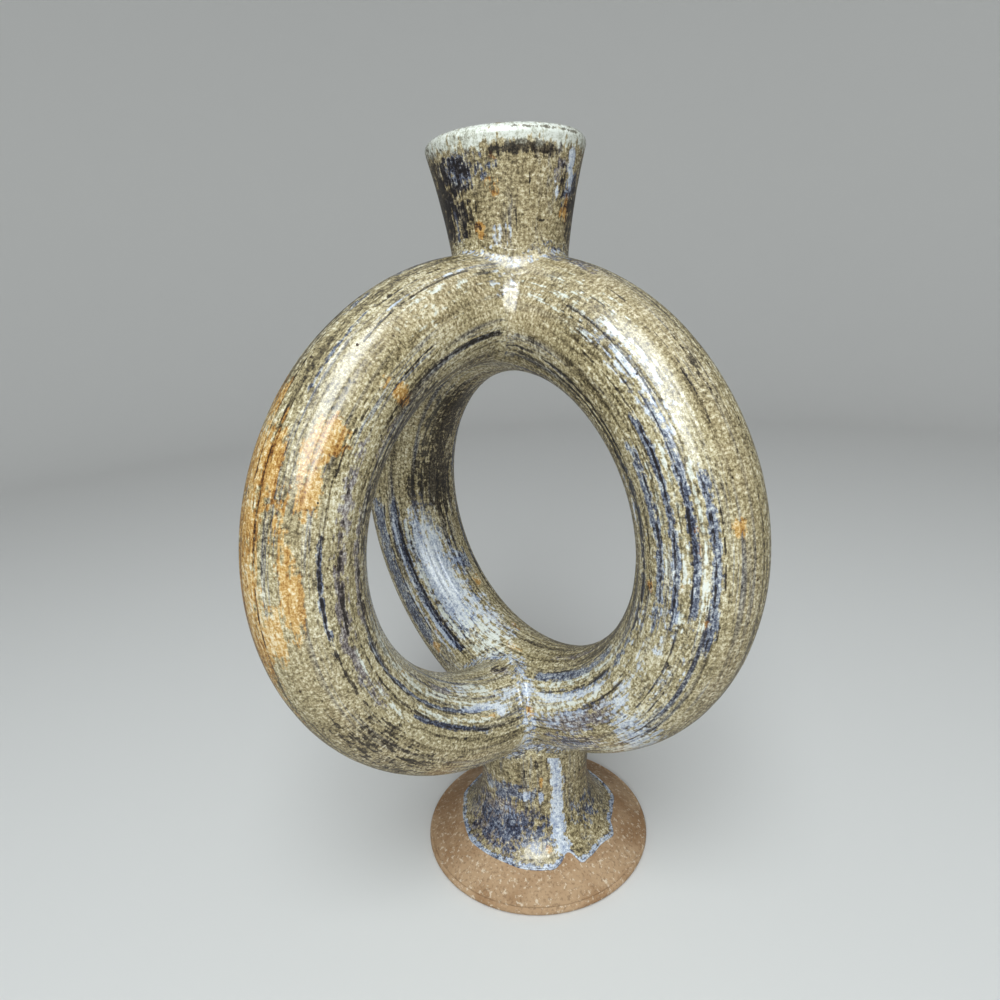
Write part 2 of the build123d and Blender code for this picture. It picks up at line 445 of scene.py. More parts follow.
FINE, COARSE = 0.42 * MM, 1.6 * MM
neck_base, mouth, lip_roll, neck_bow = 22 * MM, 29.2 * MM, 3.4 * MM, 0.6 * MM
skirt_inset, skirt_low = 1.5 * MM, ring_crest - ring_tube + 3.5 * MM
lip_z, lip_middle = rim_z - lip_roll, mouth - lip_roll
neck_outer = [(neck_base - skirt_inset, skirt_low)]
line_to(neck_outer, (neck_base, ring_crest), FINE)
arc_to(neck_outer, ((neck_base + mouth) / 2 - neck_bow, (ring_crest + lip_z) / 2), (mouth, lip_z), FINE)
slant = math.sqrt(0.5) * lip_roll
arc_to(neck_outer, (lip_middle + slant, lip_z + slant), (lip_middle, rim_z), FINE)
neck_outline = list(neck_outer)
lip_inner, bore = lip_middle - lip_roll, neck_base - WALL
arc_to(neck_outline, (lip_middle - slant, lip_z + slant), (lip_inner, lip_z), FINE * 1.4)
bore_middle = ((bore + lip_inner) / 2 - neck_bow, (ring_crest + lip_z) / 2)
arc_to(neck_outline, bore_middle, (bore, ring_crest), COARSE)
line_to(neck_outline, (bore, skirt_low), COARSE)
line_to(neck_outline, neck_outer[0], COARSE)
print("neck outline points:", len(neck_outline))

# %% [markdown]
# ## The foot's outline
#
# The pedestal could be thrown upside down, like a small bowl with a wide flange. The outline goes round
# the flange's thin edge, up the slope and the bend to the stem, and comes back down inside to the flat
# ring that the vase stands on.

# %% The foot's outline
flange, edge_round, edge_z = 51.76 * MM, 2 * MM, 4.2 * MM
flange_in, flange_z, stem, stem_z, stem_bow = 34 * MM, 13 * MM, 25 * MM, 42 * MM, 3 * MM
stem_top, foot_inset, foot_top = ring_tube + 3 * MM, 3.5 * MM, ring_foot + ring_tube - 6.5 * MM
rest_width = 8 * MM
flat_end = flange - edge_round
bend_middle = ((stem + flange_in) / 2 - stem_bow, (stem_z + flange_z) / 2 - stem_bow)
foot_outer = [(flat_end, 0.0)]
slope = math.radians(61)
edge_end = (flat_end + edge_round * math.cos(slope), edge_z / 2 * (1 + math.sin(slope)))
arc_to(foot_outer, (flange, edge_z / 2), edge_end, FINE)
line_to(foot_outer, (flange_in, flange_z), FINE)
arc_to(foot_outer, bend_middle, (stem, stem_z), FINE)
line_to(foot_outer, (stem_top, ring_foot), FINE)
line_to(foot_outer, (stem_top - foot_inset, foot_top), FINE)
foot_outline = list(foot_outer)
line_to(foot_outline, (stem_top - WALL, foot_top), COARSE)
line_to(foot_outline, (stem_top - WALL, ring_foot), COARSE)
line_to(foot_outline, (stem - WALL, stem_z), COARSE)
arc_to(foot_outline, (bend_middle[0] - 0.8 * WALL, bend_middle[1] - 0.6 * WALL),
       (flange_in - 0.5 * WALL, flange_z - 0.86 * WALL), COARSE)
line_to(foot_outline, (flat_end - rest_width, 0.0), COARSE)
line_to(foot_outline, (flat_end, 0.0), COARSE)
print("foot outline points:", len(foot_outline))

# %% [markdown]
# ## Turning the two pots
#
# The neck and the foot were cut to sit on the round donuts. Here both outlines are turned, and both
# donuts, a little slimmer than they are, are cut out of them, so that each part stops just under its
# neighbour's skin.

# %% The neck and the foot
def turn_pot(name, outline, cells):
    """A turned piece from a closed outline, cut to the room that the donuts leave."""
    piece = new_piece(name, [(radius, 0, height) for radius, height in outline])
    grow(piece, pot_tree, **{"Outline Points": len(outline), "Cells Round": cells})
    cut(piece, roll_tube("ring_room", False, ring_tube - SINK, 300, 120))
    cut(piece, roll_tube("half_room", True, half_tube - SINK, 150, 120))
    print(name, "faces", len(piece.data.polygons))
    return piece


CELLS_ROUND = 330
neck = turn_pot("neck_glazed", neck_outline, CELLS_ROUND)
foot = turn_pot("foot_glazed", foot_outline, CELLS_ROUND)

# %% [markdown]
# ## How far a point is from each thrown part
#
# The clay coils in the joints are smoothed by hand, so their skin flows from one part into the next. Such
# a skin is easy to say with distances: where two distances are nearly alike, a little is taken off the
# smaller one, and the surface at distance zero swells into a fillet. The same distances also tell later
# which part a point belongs to.

# %% Distances
def to_ring(p):
    """Distance to the whole donut's skin, negative inside."""
    return np.hypot(np.hypot(p[..., 0] - ring_x, p[..., 2] - ring_z) - ring_reach, p[..., 1]) - ring_tube


def to_half(p):
    """Distance to the half donut's skin, with its straight tails."""
    back = np.minimum(p[..., 1] - half_y, 0.0)
    tube = np.hypot(np.hypot(back, p[..., 2] - ring_z) - half_reach, p[..., 0]) - half_tube
    return np.maximum(tube, p[..., 1] - half_high[1])


def to_turned(p, outline):
    """Distance to a turned wall, measured across it."""
    heights = np.array([z for _, z in outline])
    radii = np.array([r for r, _ in outline])
    order = np.argsort(heights)
    radius = np.interp(p[..., 2], heights[order], radii[order])
    slope = np.interp(p[..., 2], heights[order], np.gradient(radii[order], heights[order]))
    return (np.hypot(p[..., 0], p[..., 1]) - radius) / np.sqrt(1 + slope ** 2)


neck_wall = [(r, z) for r, z in neck_outer if z < lip_z]
foot_wall = [(r, z) for r, z in foot_outer if z > stem_z * 0.75 and z <= foot_top][::3]


def to_neck(p):
    """Distance to the neck's outside."""
    return to_turned(p, neck_wall[::3])


def to_foot(p):
    """Distance to the foot's outside."""
    return to_turned(p, foot_wall)


def melt(a, b, width):
    """The smaller of two distances, rounded where they are nearly alike."""
    width = np.maximum(width, 1e-6)
    near = np.maximum(width - np.abs(a - b), 0) / width
    return np.minimum(a, b) - near * near * width / 4


def uphill(field, p, reach=0.02 * MM):
    """The direction in which a distance grows."""
    steps = np.eye(3) * reach
    return np.stack([(field(p + s) - field(p - s)) / (2 * reach) for s in steps], -1)


print("the foot rest's middle is", round(float(to_ring(np.zeros(3)) / MM), 1), "mm from the ring")

# %% [markdown]
# ## Clay coils
#
# Each coil is a strip that follows a crease. Across the crease the strip has rows, and every row is moved
# onto the rounded skin. The rounding fades out at both edges, which are pressed a little under the skin,
# and the underside is closed with a few rows more, so that each coil is a solid piece of clay.

# %% Laying a coil in a crease
def unit(v):
    """Rows scaled to length one."""
    return v / np.maximum(np.linalg.norm(v, axis=-1, keepdims=True), 1e-12)


EDGE_SUNK, UNDERSIDE = 0.45 * MM, 0.9 * MM


def lay_coil(name, crease, first, second, width, rounding, closed, ridge=None, rows=23):
    """A coil along the crease of two distance fields, with an optional ridge along its middle."""
    first_normal, second_normal = unit(uphill(first, crease)), unit(uphill(second, crease))
    along = unit(np.roll(crease, -1, 0) - np.roll(crease, 1, 0))
    if not closed:
        along[0], along[-1] = unit(crease[1] - crease[0]), unit(crease[-1] - crease[-2])
    first_side = unit(np.cross(along, first_normal))
    first_side *= np.sign(np.sum(first_side * second_normal, -1, keepdims=True))
    second_side = unit(np.cross(along, second_normal))
    second_side *= np.sign(np.sum(second_side * first_normal, -1, keepdims=True))
    out = unit(first_normal + second_normal)
    t = np.linspace(-1, 1, rows)
    share = np.abs(t)[None, :, None]
    side = np.where(t[None, :, None] < 0, first_side[:, None], second_side[:, None])
    start = crease[:, None] + side * share * width + out[:, None] * (1 - share) * rounding * 0.25
    steep = np.clip((1 - np.sum(first_normal * second_normal, -1)) / 0.5, 0.35, 1)[:, None]
    fading = rounding * steep * ((1 - t ** 2) ** 1.2)[None, :]

    def skin(p):
        return melt(first(p), second(p), fading)

    p = start
    for _ in range(14):
        push = uphill(skin, p)
        gap = skin(p)[..., None]
        p = p - np.clip(gap, -2 * MM, 2 * MM) * push / np.maximum(np.sum(push ** 2, -1, keepdims=True), 0.2)
    normal = unit(uphill(skin, p))
    if ridge is not None:
        p = p + normal * ridge(p, t[None, :])[..., None]
    p = p - normal * np.where(share > 0.999, EDGE_SUNK, 0.0)
    keel = crease - out * UNDERSIDE
    under = [p[:, -1] * (1 - s) + keel * s for s in (0.5, 1.0)]
    under += [keel * 0.5 + p[:, 0] * 0.5]
    p = np.concatenate([p, np.stack(under, 1)], 1)
    count, loop = p.shape[:2]
    faces = []
    for i in range(count if closed else count - 1):
        for j in range(loop):
            a, b = i * loop + j, i * loop + (j + 1) % loop
            c, d = ((i + 1) % count) * loop + (j + 1) % loop, ((i + 1) % count) * loop + j
            faces.append((a, b, c, d))
    if not closed:
        faces.append(tuple(range(loop)))
        faces.append(tuple((count - 1) * loop + j for j in reversed(range(loop))))
    piece = new_piece(name, p.reshape(-1, 3), faces)
    work = bmesh.new()
    work.from_mesh(piece.data)
    if not closed:
        bmesh.ops.triangulate(work, faces=[f for f in work.faces if len(f.verts) > 4])
    bmesh.ops.recalc_face_normals(work, faces=work.faces)
    work.to_mesh(piece.data)
    work.free()
    largest_gap = round(float(np.abs(skin(p[:, :rows])).max() / MM), 3)
    print(name, "faces", len(piece.data.polygons), "largest gap in mm", largest_gap)
    return piece

# %% [markdown]
# ## The coils round the neck and the foot
#
# A coil of soft clay was pressed round each joint and smoothed with a finger. Its crease is found by
# going down the neck's wall, or up the stem's, until the wall meets the donuts. It could also be read off
# the meshes, but that would be slower and rougher.

# %% The coils round the neck and the foot
def donuts(p):
    """Distance to both donuts, with the crease between them filled."""
    return melt(to_ring(p), to_half(p), 7 * MM)


def turned_crease(outline, downwards, count=300):
    """Where a turned wall first meets the donuts, all round the axis."""
    heights = np.array([z for _, z in outline])
    radii = np.array([r for r, _ in outline])
    order = np.argsort(heights)
    low, high = heights.min(), heights.max()
    z = np.linspace(high, low, 900) if downwards else np.linspace(low, high, 900)
    r = np.interp(z, heights[order], radii[order])
    points = []
    for angle in np.arange(count) * 2 * math.pi / count:
        wall = np.stack([r * math.cos(angle), r * math.sin(angle), z], -1)
        inside = donuts(wall) < 0
        points.append(wall[np.argmax(inside)] if inside.any() else wall[-1])
    smooth = np.array(points)
    for _ in range(3):
        smooth = (np.roll(smooth, 1, 0) + smooth * 2 + np.roll(smooth, -1, 0)) / 4
    return smooth


neck_crease = turned_crease([(r, z) for r, z in neck_outer if z < ring_crest + 12 * MM], True)
foot_crease = turned_crease([(r, z) for r, z in foot_outer if z > stem_z], False)
neck_coil = lay_coil(
    "neck_coil_glazed", neck_crease, to_neck, donuts, width=5.5 * MM, rounding=3.6 * MM, closed=True)
foot_coil = lay_coil(
    "foot_coil_glazed", foot_crease, to_foot, donuts, width=6.5 * MM, rounding=5 * MM, closed=True)
heights = neck_crease[:, 2] / MM
print("neck crease heights in mm:", round(float(heights.min()), 1), round(float(heights.max()), 1))

# %% [markdown]
# ## The beads between the two donuts
#
# The half donut was pressed to the ring's side at the top and at the bottom, and each joint got a bead of
# clay. At each angle round the half donut's tube a line is followed until it enters the ring: that is the
# crease. Its back part lies inside the neck or the foot, so the bead stops there. On the lower joint the
# thumb left a low ridge.

# %% The beads between the two donuts
def seam_crease(upper, hidden, count=200):
    """Where the half donut's skin meets the ring's, from one side of the joint to the other."""
    sign = 1 if upper else -1
    points, found = [], []
    for angle in np.linspace(0, 2 * math.pi, 721):
        travel = np.linspace(-34 * MM, -half_y, 1200)
        bend = np.minimum(travel, 0) / half_reach
        radius = half_reach + half_tube * math.cos(angle)
        p = np.stack([
            np.full_like(travel, half_tube * math.sin(angle)),
            half_y + radius * np.sin(bend) + np.maximum(travel, 0),
            ring_z + sign * radius * np.cos(bend)], -1)
        inside = to_ring(p) < 0
        found.append(inside.any())
        points.append(p[np.argmax(inside)])
    points, found = np.array(points), np.array(found)
    shown = found & (np.hypot(points[:, 0], points[:, 1]) > hidden)
    first, last = np.argmax(shown), len(shown) - 1 - np.argmax(shown[::-1])
    points = points[first:last + 1]
    for _ in range(4):
        points[1:-1] = (points[:-2] + points[1:-1] * 2 + points[2:]) / 4
    steps = np.r_[0, np.cumsum(np.linalg.norm(np.diff(points, axis=0), axis=1))]
    even = np.linspace(0, steps[-1], count)
    return np.stack([np.interp(even, steps, points[:, axis]) for axis in range(3)], -1)


def thumb_ridge(p, t):
    """The low ridge of clay that the joiner's thumb left on the lower joint's +X side."""
    middle = np.exp(-(t / 0.16) ** 2) * np.ones(p.shape[:2])
    length = np.exp(-((p[..., 2] - 92 * MM) / (9 * MM)) ** 4)
    return 0.8 * MM * middle * length * (p[..., 0] > 0)


upper_crease = seam_crease(True, 19.5 * MM)
lower_crease = seam_crease(False, 22.5 * MM)
upper_seam_coil = lay_coil(
    "upper_seam_coil_glazed", upper_crease, to_ring, to_half,
    width=7 * MM, rounding=7.5 * MM, closed=False)
lower_seam_coil = lay_coil(
    "lower_seam_coil_glazed", lower_crease, to_ring, to_half,
    width=6.5 * MM, rounding=6 * MM, closed=False, ridge=thumb_ridge)
print("upper crease from", (upper_crease[0] / MM).round(1), "to", (upper_crease[-1] / MM).round(1))

# %% [markdown]
# ## Coordinates that follow the wheel
#
# Streaks on a thrown pot run the way the wheel turned. Two sets of coordinates say so: `section` is a
# point's place in a slice across the wall, which changes fast from streak to streak, and `travel` is its
# place along the turning, which changes slowly. Both are kept on the mesh as attributes, and so are
# painted marks, which are listed below: bands run with the wheel, runs go across it, and spots lie
# anywhere.

# %% Place along and around a tube
def on_ring(p):
    """Degrees along and around the whole donut, from its outer side, with -90 towards the half donut."""
    x, z = p[:, 0] - ring_x, p[:, 2] - ring_z
    across = np.hypot(x, z) - ring_reach
    return np.degrees(np.arctan2(z, x)), np.degrees(np.arctan2(p[:, 1], across)), across, p[:, 1]


def on_half(p):
    """Degrees along and around the half donut, where around 0 is its outer side and 90 its +X side."""
    y, z = half_y - p[:, 1], p[:, 2] - ring_z
    y = np.maximum(y, 0)
    across = np.hypot(y, z) - half_reach
    past = np.degrees(np.maximum(p[:, 1] - half_y, 0) / half_reach) * np.sign(z)
    return np.degrees(np.arctan2(z, y)) + past, np.degrees(np.arctan2(p[:, 0], across)), across, p[:, 0]


def wrap(difference, turn=360.0):
    """A difference of angles between minus and plus half a turn."""
    return (difference + turn / 2) % turn - turn / 2


def edge(distance, half_width, feather):
    """1 within half the width, and softly down to 0 over the feather."""
    t = np.clip((half_width + feather - np.abs(distance)) / (2 * feather), 0, 1)
    return t * t * (3 - 2 * t)


def paint(marks, along, around, round_about):
    """One mask from a list of marks: bands, runs and spots."""
    mask = np.zeros(len(along))
    for shape, points, width, strength in marks:
        if shape == "spot":
            (a, b), (wide, high) = points, width
            off_b = wrap(around - b) if round_about else around - b
            distance = np.hypot(wrap(along - a) / wide, off_b / high)
            shade = edge(distance, 0.75, 0.6)
        elif shape == "band":
            xs, ys = [x for x, _ in points], [y for _, y in points]
            middle, reach = (xs[0] + xs[-1]) / 2, (xs[-1] - xs[0]) / 2
            x = wrap(along - middle) + middle
            off = around - np.interp(x, xs, ys)
            off = wrap(off) if round_about else off
            shade = edge(off, width / 2, width * 0.55) * edge(x - middle, reach, 4.0)
        else:
            ys, xs = [y for _, y in points], [x for x, _ in points]
            order = np.argsort(ys)
            ys, xs = np.array(ys)[order], np.array(xs)[order]
            middle, reach = (ys[0] + ys[-1]) / 2, (ys[-1] - ys[0]) / 2
            y = wrap(around - middle) + middle if round_about else around
            feather = 3.0 if round_about else 1.5
            shade = edge(wrap(along - np.interp(y, ys, xs)), width / 2, width * 0.5)
            shade = shade * edge(y - middle, reach, feather)
        mask = np.maximum(mask, shade * strength)
    return mask


def count_marks(marks):
    """How many marks a piece has, of all kinds."""
    return sum(len(strokes) for strokes in marks.values())


print("painting helpers ready")

# %% [markdown]
# ## Marks on the whole donut
#
# The marks are written in degrees along the tube and round it. Cobalt is the slate-blue that pools in the
# grooves, milk the pale lilac-blue where the glaze lies thick, iron the dark lines and pits, rust the
# orange blushes, plum the purple-brown. One milk spot is a painted highlight, one faint cream spot painted
# light and two iron spots painted shade. A side that no picture shows gets marks of the same kinds, drawn
# with a fixed seed.

# %% Marks on the ring
ring_marks = {
    "cobalt": [
        ("band", [(-76, -136), (-60, -135), (-45, -134), (-32, -137)], 9, 0.8),
        ("band", [(-70, -116), (-37, -116)], 6, 0.55),
        ("band", [(-37, -118), (10, -117), (32, -117)], 6, 0.6),
        ("band", [(-15, -96), (0, -95), (18, -97), (32, -96)], 8, 0.8),
        ("band", [(-12, -80), (0, -80), (37, -80)], 6, 1.0),
        ("band", [(-10, -64), (5, -63), (30, -64), (37, -63)], 7, 0.9),
        ("band", [(-15, -47), (0, -47), (22, -48)], 7, 0.85),
        ("band", [(-178, -118), (-150, -119), (-113, -117)], 10, 1.0),
        ("band", [(-178, -91), (-150, -90), (-125, -90)], 18, 0.95),
        ("band", [(-170, -139), (-140, -138), (-113, -139)], 9, 0.9),
        ("band", [(-160, -158), (-140, -160), (-120, -159)], 7, 0.8), ("spot", (-118, -155), (8, 8), 0.7),
        ("run", [(-145, -200), (-147, -165)], 12, 0.6), ("spot", (-144, -187), (3, 10), 0.9),
        ("spot", (-127, -174), (4, 4), 0.8), ("spot", (75, -10), (10, 10), 0.3),
        ("spot", (-66, -60), (12, 20), 0.35),
    ],
    "milk": [
        ("band", [(-72, -114), (-55, -113), (-42, -110)], 8, 0.7),
        ("run", [(-39, -98), (-45, -60), (-50, -20)], 9, 0.6), ("spot", (-78, -118), (4, 16), 0.6),
        ("spot", (-86, -60), (6, 14), 0.6), ("spot", (80, -62), (2.5, 16), 0.4),
        ("spot", (17, -123), (10, 5), 0.35), ("spot", (-46, -38), (7, 22), 0.5),
        # The milk spot at 45, -57 is a painted highlight: the lamp's broad bluish-white reflection on the
        # ring's upper front.
        ("spot", (45, -57), (20, 20), 0.38), ("spot", (-142, -150), (38, 30), 0.88),
        ("spot", (-116, -165), (22, 30), 0.6), ("band", [(-150, -104), (-114, -105)], 5, 0.5),
        ("band", [(-168, -130), (-140, -131), (-114, -131)], 7, 0.7),
        ("band", [(-172, -113), (-140, -113), (-114, -114)], 4, 0.8), ("spot", (-20, -85), (50, 60), 0.17),
        ("spot", (-62, -100), (22, 34), 0.3), ("band", [(-150, -148), (-137, -148), (-115, -146)], 9, 0.95),
        ("band", [(-158, -155), (-130, -157)], 5, 0.65), ("band", [(-140, -114), (-115, -115)], 3, 0.6),
        ("spot", (-150, -178), (10, 14), 0.5), ("spot", (-130, -165), (25, 25), 0.35),
        ("spot", (-128, -160), (10, 6), 0.4), ("spot", (-90, -112), (5, 9), 0.5),
    ],
    "iron": [
        ("band", [(-72, -141), (-55, -142), (-30, -140)], 2, 0.6),
        ("band", [(-72, -120), (-37, -120)], 2, 0.8),
        ("band", [(-20, -118), (0, -117), (30, -117)], 4, 0.7),
        ("band", [(30, -119), (78, -118)], 3.5, 0.8), ("band", [(30, -113), (78, -112)], 2.4, 0.8),
        ("band", [(5, -107), (28, -106)], 1.3, 0.7), ("band", [(-55, -100), (-34, -100)], 1.4, 0.85),
        ("band", [(-15, -94), (33, -95)], 2.0, 0.55), ("band", [(-10, -87), (30, -87)], 1.4, 0.6),
        ("band", [(-12, -81), (37, -79), (55, -80)], 1.8, 0.7),
        ("band", [(-42, -74), (-13, -74)], 1.3, 0.75), ("band", [(8, -73), (22, -72)], 1.3, 0.7),
        ("band", [(40, -70), (48, -71)], 1.3, 0.7),
        ("band", [(-42, -63), (-20, -65), (-10, -66)], 1.4, 0.6),
        ("band", [(-10, -67), (36, -65), (66, -62)], 1.3, 0.65),
        ("band", [(37, -58), (50, -57), (66, -57)], 1.5, 0.95), ("band", [(-15, -48), (22, -49)], 1.6, 0.5),
        ("band", [(-25, -41), (25, -40)], 1.1, 0.5), ("band", [(55, -39), (65, -39)], 1.3, 0.5),
        ("band", [(28, -27), (50, -24), (62, -22)], 1.3, 0.55),
        ("band", [(18, 9), (32, 7), (45, 6)], 1.6, 0.5), ("band", [(-46, -46), (-36, -46)], 1.6, 0.5),
        ("band", [(-178, -122), (-113, -122)], 3, 0.9), ("band", [(-190, -144), (-176, -143)], 9, 0.8),
        ("band", [(-178, -158), (-165, -160)], 3, 0.6), ("band", [(-178, -103), (-126, -101)], 2, 0.6),
        ("spot", (-33, -102), (1, 3), 0.9), ("spot", (-21, -71), (1, 3.5), 0.9),
        ("spot", (-50, -124), (1, 3), 0.5), ("spot", (-59, -65), (1, 6), 0.5),
        ("spot", (-3.5, -106), (0.7, 2), 0.8), ("spot", (38, -12), (10, 8), 0.3),
        ("spot", (68, -78), (1.2, 3), 0.5), ("spot", (70, -100), (1.5, 4), 0.5),
        # The iron spots at 172, -178 and 140, -176 are painted shade on the ring's inner side at the top of
        # the hole.
        ("spot", (20, -35), (12, 4), 0.15), ("spot", (172, -178), (26, 34), 0.75),
        ("spot", (140, -176), (30, 30), 0.75),
    ],
    "rust": [
        ("spot", (-77, -97), (2, 8), 0.85), ("spot", (-3.5, -106), (1.8, 4.5), 1.0),
        ("spot", (9.5, -26), (2.2, 8), 0.9), ("spot", (-8.5, -53), (1.2, 4), 0.6),
        ("spot", (-1.5, -74), (1, 3), 0.5), ("spot", (8, -60), (6, 5), 0.3),
        ("spot", (-134, -195), (4, 12), 0.55), ("spot", (-112, -175), (8, 9), 0.5),
        ("spot", (-97, -160), (8, 8), 0.45), ("spot", (-122, -92), (2, 9), 0.8),
        ("spot", (-127, -106), (8, 4), 0.4), ("spot", (-105, -190), (6, 8), 0.3),
    ],
    "plum": [
        ("spot", (-57, -88), (20, 14), 0.9), ("spot", (-66, -58), (14, 22), 0.6),
        ("spot", (-118, -156), (5, 5), 0.8), ("spot", (-55, -160), (20, 5), 0.6),
        ("spot", (-40, -135), (8, 5), 0.4), ("spot", (10, -97), (22, 6), 0.3),
        ("spot", (72, -8), (12, 12), 0.35),
    ],
    "cream": [
        ("band", [(-76, -104), (-58, -105), (-44, -106)], 5, 0.5),
        ("band", [(-76, -127), (-50, -127), (-30, -126)], 5, 0.55),
        ("band", [(-168, -131), (-116, -131)], 6, 0.5), ("spot", (-108, -150), (18, 30), 0.42),
        # The faint cream spot at 62, -50 is painted light: it brightens the ring's lit upper front.
        ("spot", (-55, -38), (5, 26), 0.4), ("spot", (62, -50), (30, 40), 0.17),
        ("band", [(-10, -88), (30, -88)], 4, 0.35), ("band", [(-14, -72), (30, -72)], 5, 0.4),
        ("band", [(-14, -56), (26, -56)], 6, 0.4),
    ],
    "calm": [
        ("spot", (75, -60), (24, 48), 1.0), ("spot", (60, -20), (34, 26), 0.8),
        ("spot", (20, -16), (34, 22), 0.75), ("spot", (-20, -20), (30, 24), 0.75),
        ("spot", (-60, -10), (30, 26), 0.6), ("spot", (140, 180), (50, 40), 0.5),
    ],
}
print("marks on the ring's shown side:", count_marks(ring_marks))

# %% [markdown]
# ## Marks on the half donut
#
# The half donut has the same kinds of marks, in its own degrees. They are strokes laid one by one rather
# than a picture wrapped round the clay, so each one can be moved or taken away.

# %% Marks on the half ring
half_marks = {
    "cobalt": [
        ("band", [(40, 27), (58, 25)], 5, 0.6), ("band", [(-10, 77), (5, 75), (14, 74)], 5, 0.75),
        ("band", [(-70, 100), (-66, 106), (-50, 106), (-42, 104)], 5, 0.9),
        ("band", [(-68, 125), (-50, 122), (-30, 119), (-12, 114)], 4, 0.85),
        ("spot", (-70, 157), (2, 3), 0.5), ("spot", (58, 2), (5, 6), 0.5), ("spot", (76, -2), (12, 8), 0.4),
        ("spot", (-86, 100), (5, 20), 0.4),
    ],
    "milk": [
        ("band", [(-80, 124), (-70, 128), (-60, 127)], 8, 0.8), ("spot", (-77, 122), (3.5, 9), 0.95),
        ("spot", (-82, 138), (8, 10), 0.6), ("spot", (-62, 150), (8, 8), 0.5),
        ("spot", (-86, 60), (5, 16), 0.5), ("band", [(58, 39), (82, 39)], 2.4, 0.45),
        ("spot", (86, 62), (4, 20), 0.25), ("spot", (-72, 128), (10, 6), 0.4),
    ],
    "iron": [
        ("band", [(-19, 2), (-18, 8), (-15, 13), (0, 14), (20, 14), (45, 12)], 1.4, 0.6),
        ("band", [(22, 3), (40, 3), (55, 1)], 1.6, 0.6), ("band", [(55, 27), (80, 28)], 1.5, 0.7),
        ("band", [(50, 44), (60, 42), (82, 42)], 1.7, 0.9), ("band", [(-23, 55), (-10, 55)], 1.3, 0.5),
        ("band", [(-40, 84), (-20, 80), (-8, 77), (8, 74), (14, 74)], 2.4, 0.65),
        ("band", [(14, 77), (25, 76), (35, 79), (42, 80)], 1.8, 0.6),
        ("band", [(-10, 95), (18, 94)], 4, 0.4), ("band", [(-72, 103), (-42, 108)], 1.6, 0.6),
        ("band", [(-48, 108), (-30, 106), (-10, 103)], 2.4, 0.6), ("band", [(45, 91), (62, 91)], 1.4, 0.6),
        ("band", [(38, 107), (60, 109), (85, 113)], 5, 0.5),
        ("band", [(-68, 122), (-50, 120), (-30, 117), (-12, 112)], 1.8, 0.7),
        ("band", [(0, 130), (60, 128)], 9, 0.35), ("spot", (-38, 88), (0.9, 3.5), 0.95),
        ("spot", (71, 20), (0.6, 3), 0.8), ("spot", (24, 93), (0.7, 2.5), 0.85),
        ("spot", (-42, 43), (0.9, 2.5), 0.6), ("spot", (12, 8), (2, 2), 0.5),
        ("spot", (-62, 95), (0.8, 2), 0.6), ("spot", (-86, 172), (4, 8), 0.5),
        # The large faint iron spots at -45, 55 and 5, 125 are painted shade on the half donut's lower front
        # and on its side towards the hole.
        ("spot", (84, 50), (3, 14), 0.3), ("spot", (-45, 55), (30, 34), 0.34),
        ("spot", (5, 125), (50, 16), 0.28),
    ],
    "rust": [
        ("run", [(-7, -45), (-6, 0), (-5, 15), (-4, 38)], 9, 0.95), ("run", [(4, -45), (4, 18)], 7, 0.85),
        ("run", [(28, -45), (25, 0), (26, 20), (24, 30)], 11, 0.95), ("run", [(14, -45), (14, 14)], 8, 0.8),
        ("run", [(-18, -45), (-18, 4)], 8, 0.8), ("run", [(38, -45), (36, 4)], 7, 0.75),
        ("run", [(-30, -45), (-29, -4)], 8, 0.65), ("spot", (2, -8), (36, 30), 0.72),
        ("band", [(-8, 16), (10, 17), (35, 15)], 4, 0.75), ("spot", (3, 50), (10, 11), 0.95),
        ("spot", (-4, 28), (6, 14), 0.7), ("spot", (22, 58), (5, 15), 0.95),
        ("spot", (33, 62), (5, 17), 1.0), ("spot", (28, 52), (9, 12), 0.6), ("spot", (27, 20), (5, 9), 0.8),
        ("spot", (33, 80), (1, 5), 0.6), ("spot", (48, 80), (1.5, 8), 0.45),
        ("spot", (49, 103), (2.5, 15), 0.8), ("spot", (15, 38), (11, 10), 0.35),
        ("spot", (-31, 133), (1.5, 6), 0.65), ("spot", (-72, 116), (8, 5), 0.3),
    ],
    "plum": [
        ("band", [(-30, 95), (-10, 93), (10, 93), (35, 93)], 14, 0.55),
        ("band", [(-10, 116), (5, 115), (20, 113)], 8, 0.7), ("spot", (-52, 146), (8, 6), 0.6),
        ("spot", (-86, 168), (6, 10), 0.5), ("spot", (40, 112), (8, 6), 0.4),
    ],
    "cream": [
        ("band", [(-72, 113), (-40, 113)], 6, 0.55), ("band", [(-66, 134), (-40, 132), (-8, 131)], 10, 0.5),
        ("band", [(-76, 150), (-62, 150)], 14, 0.5), ("band", [(-40, 97), (-10, 98)], 5, 0.4),
        # Both faint cream spots here are painted light: they brighten the half donut's lit top and its
        # outer side.
        ("spot", (70, 60), (26, 38), 0.15), ("spot", (5, 8), (44, 24), 0.1),
    ],
    "calm": [
        ("spot", (76, 62), (18, 40), 1.0), ("spot", (60, 60), (28, 26), 0.8),
        ("spot", (-36, 50), (40, 34), 0.85), ("spot", (-60, 70), (24, 22), 0.6),
        ("spot", (20, 50), (40, 25), 0.5),
    ],
}
print("marks on the half donut's shown side:", count_marks(half_marks))

# %% [markdown]
# ## Marks on the hidden sides
#
# The fire marked the far sides too, but one view can't tell how. Iron bands are drawn with a fixed seed,
# now and then with cobalt, milk, rust or plum beside them.

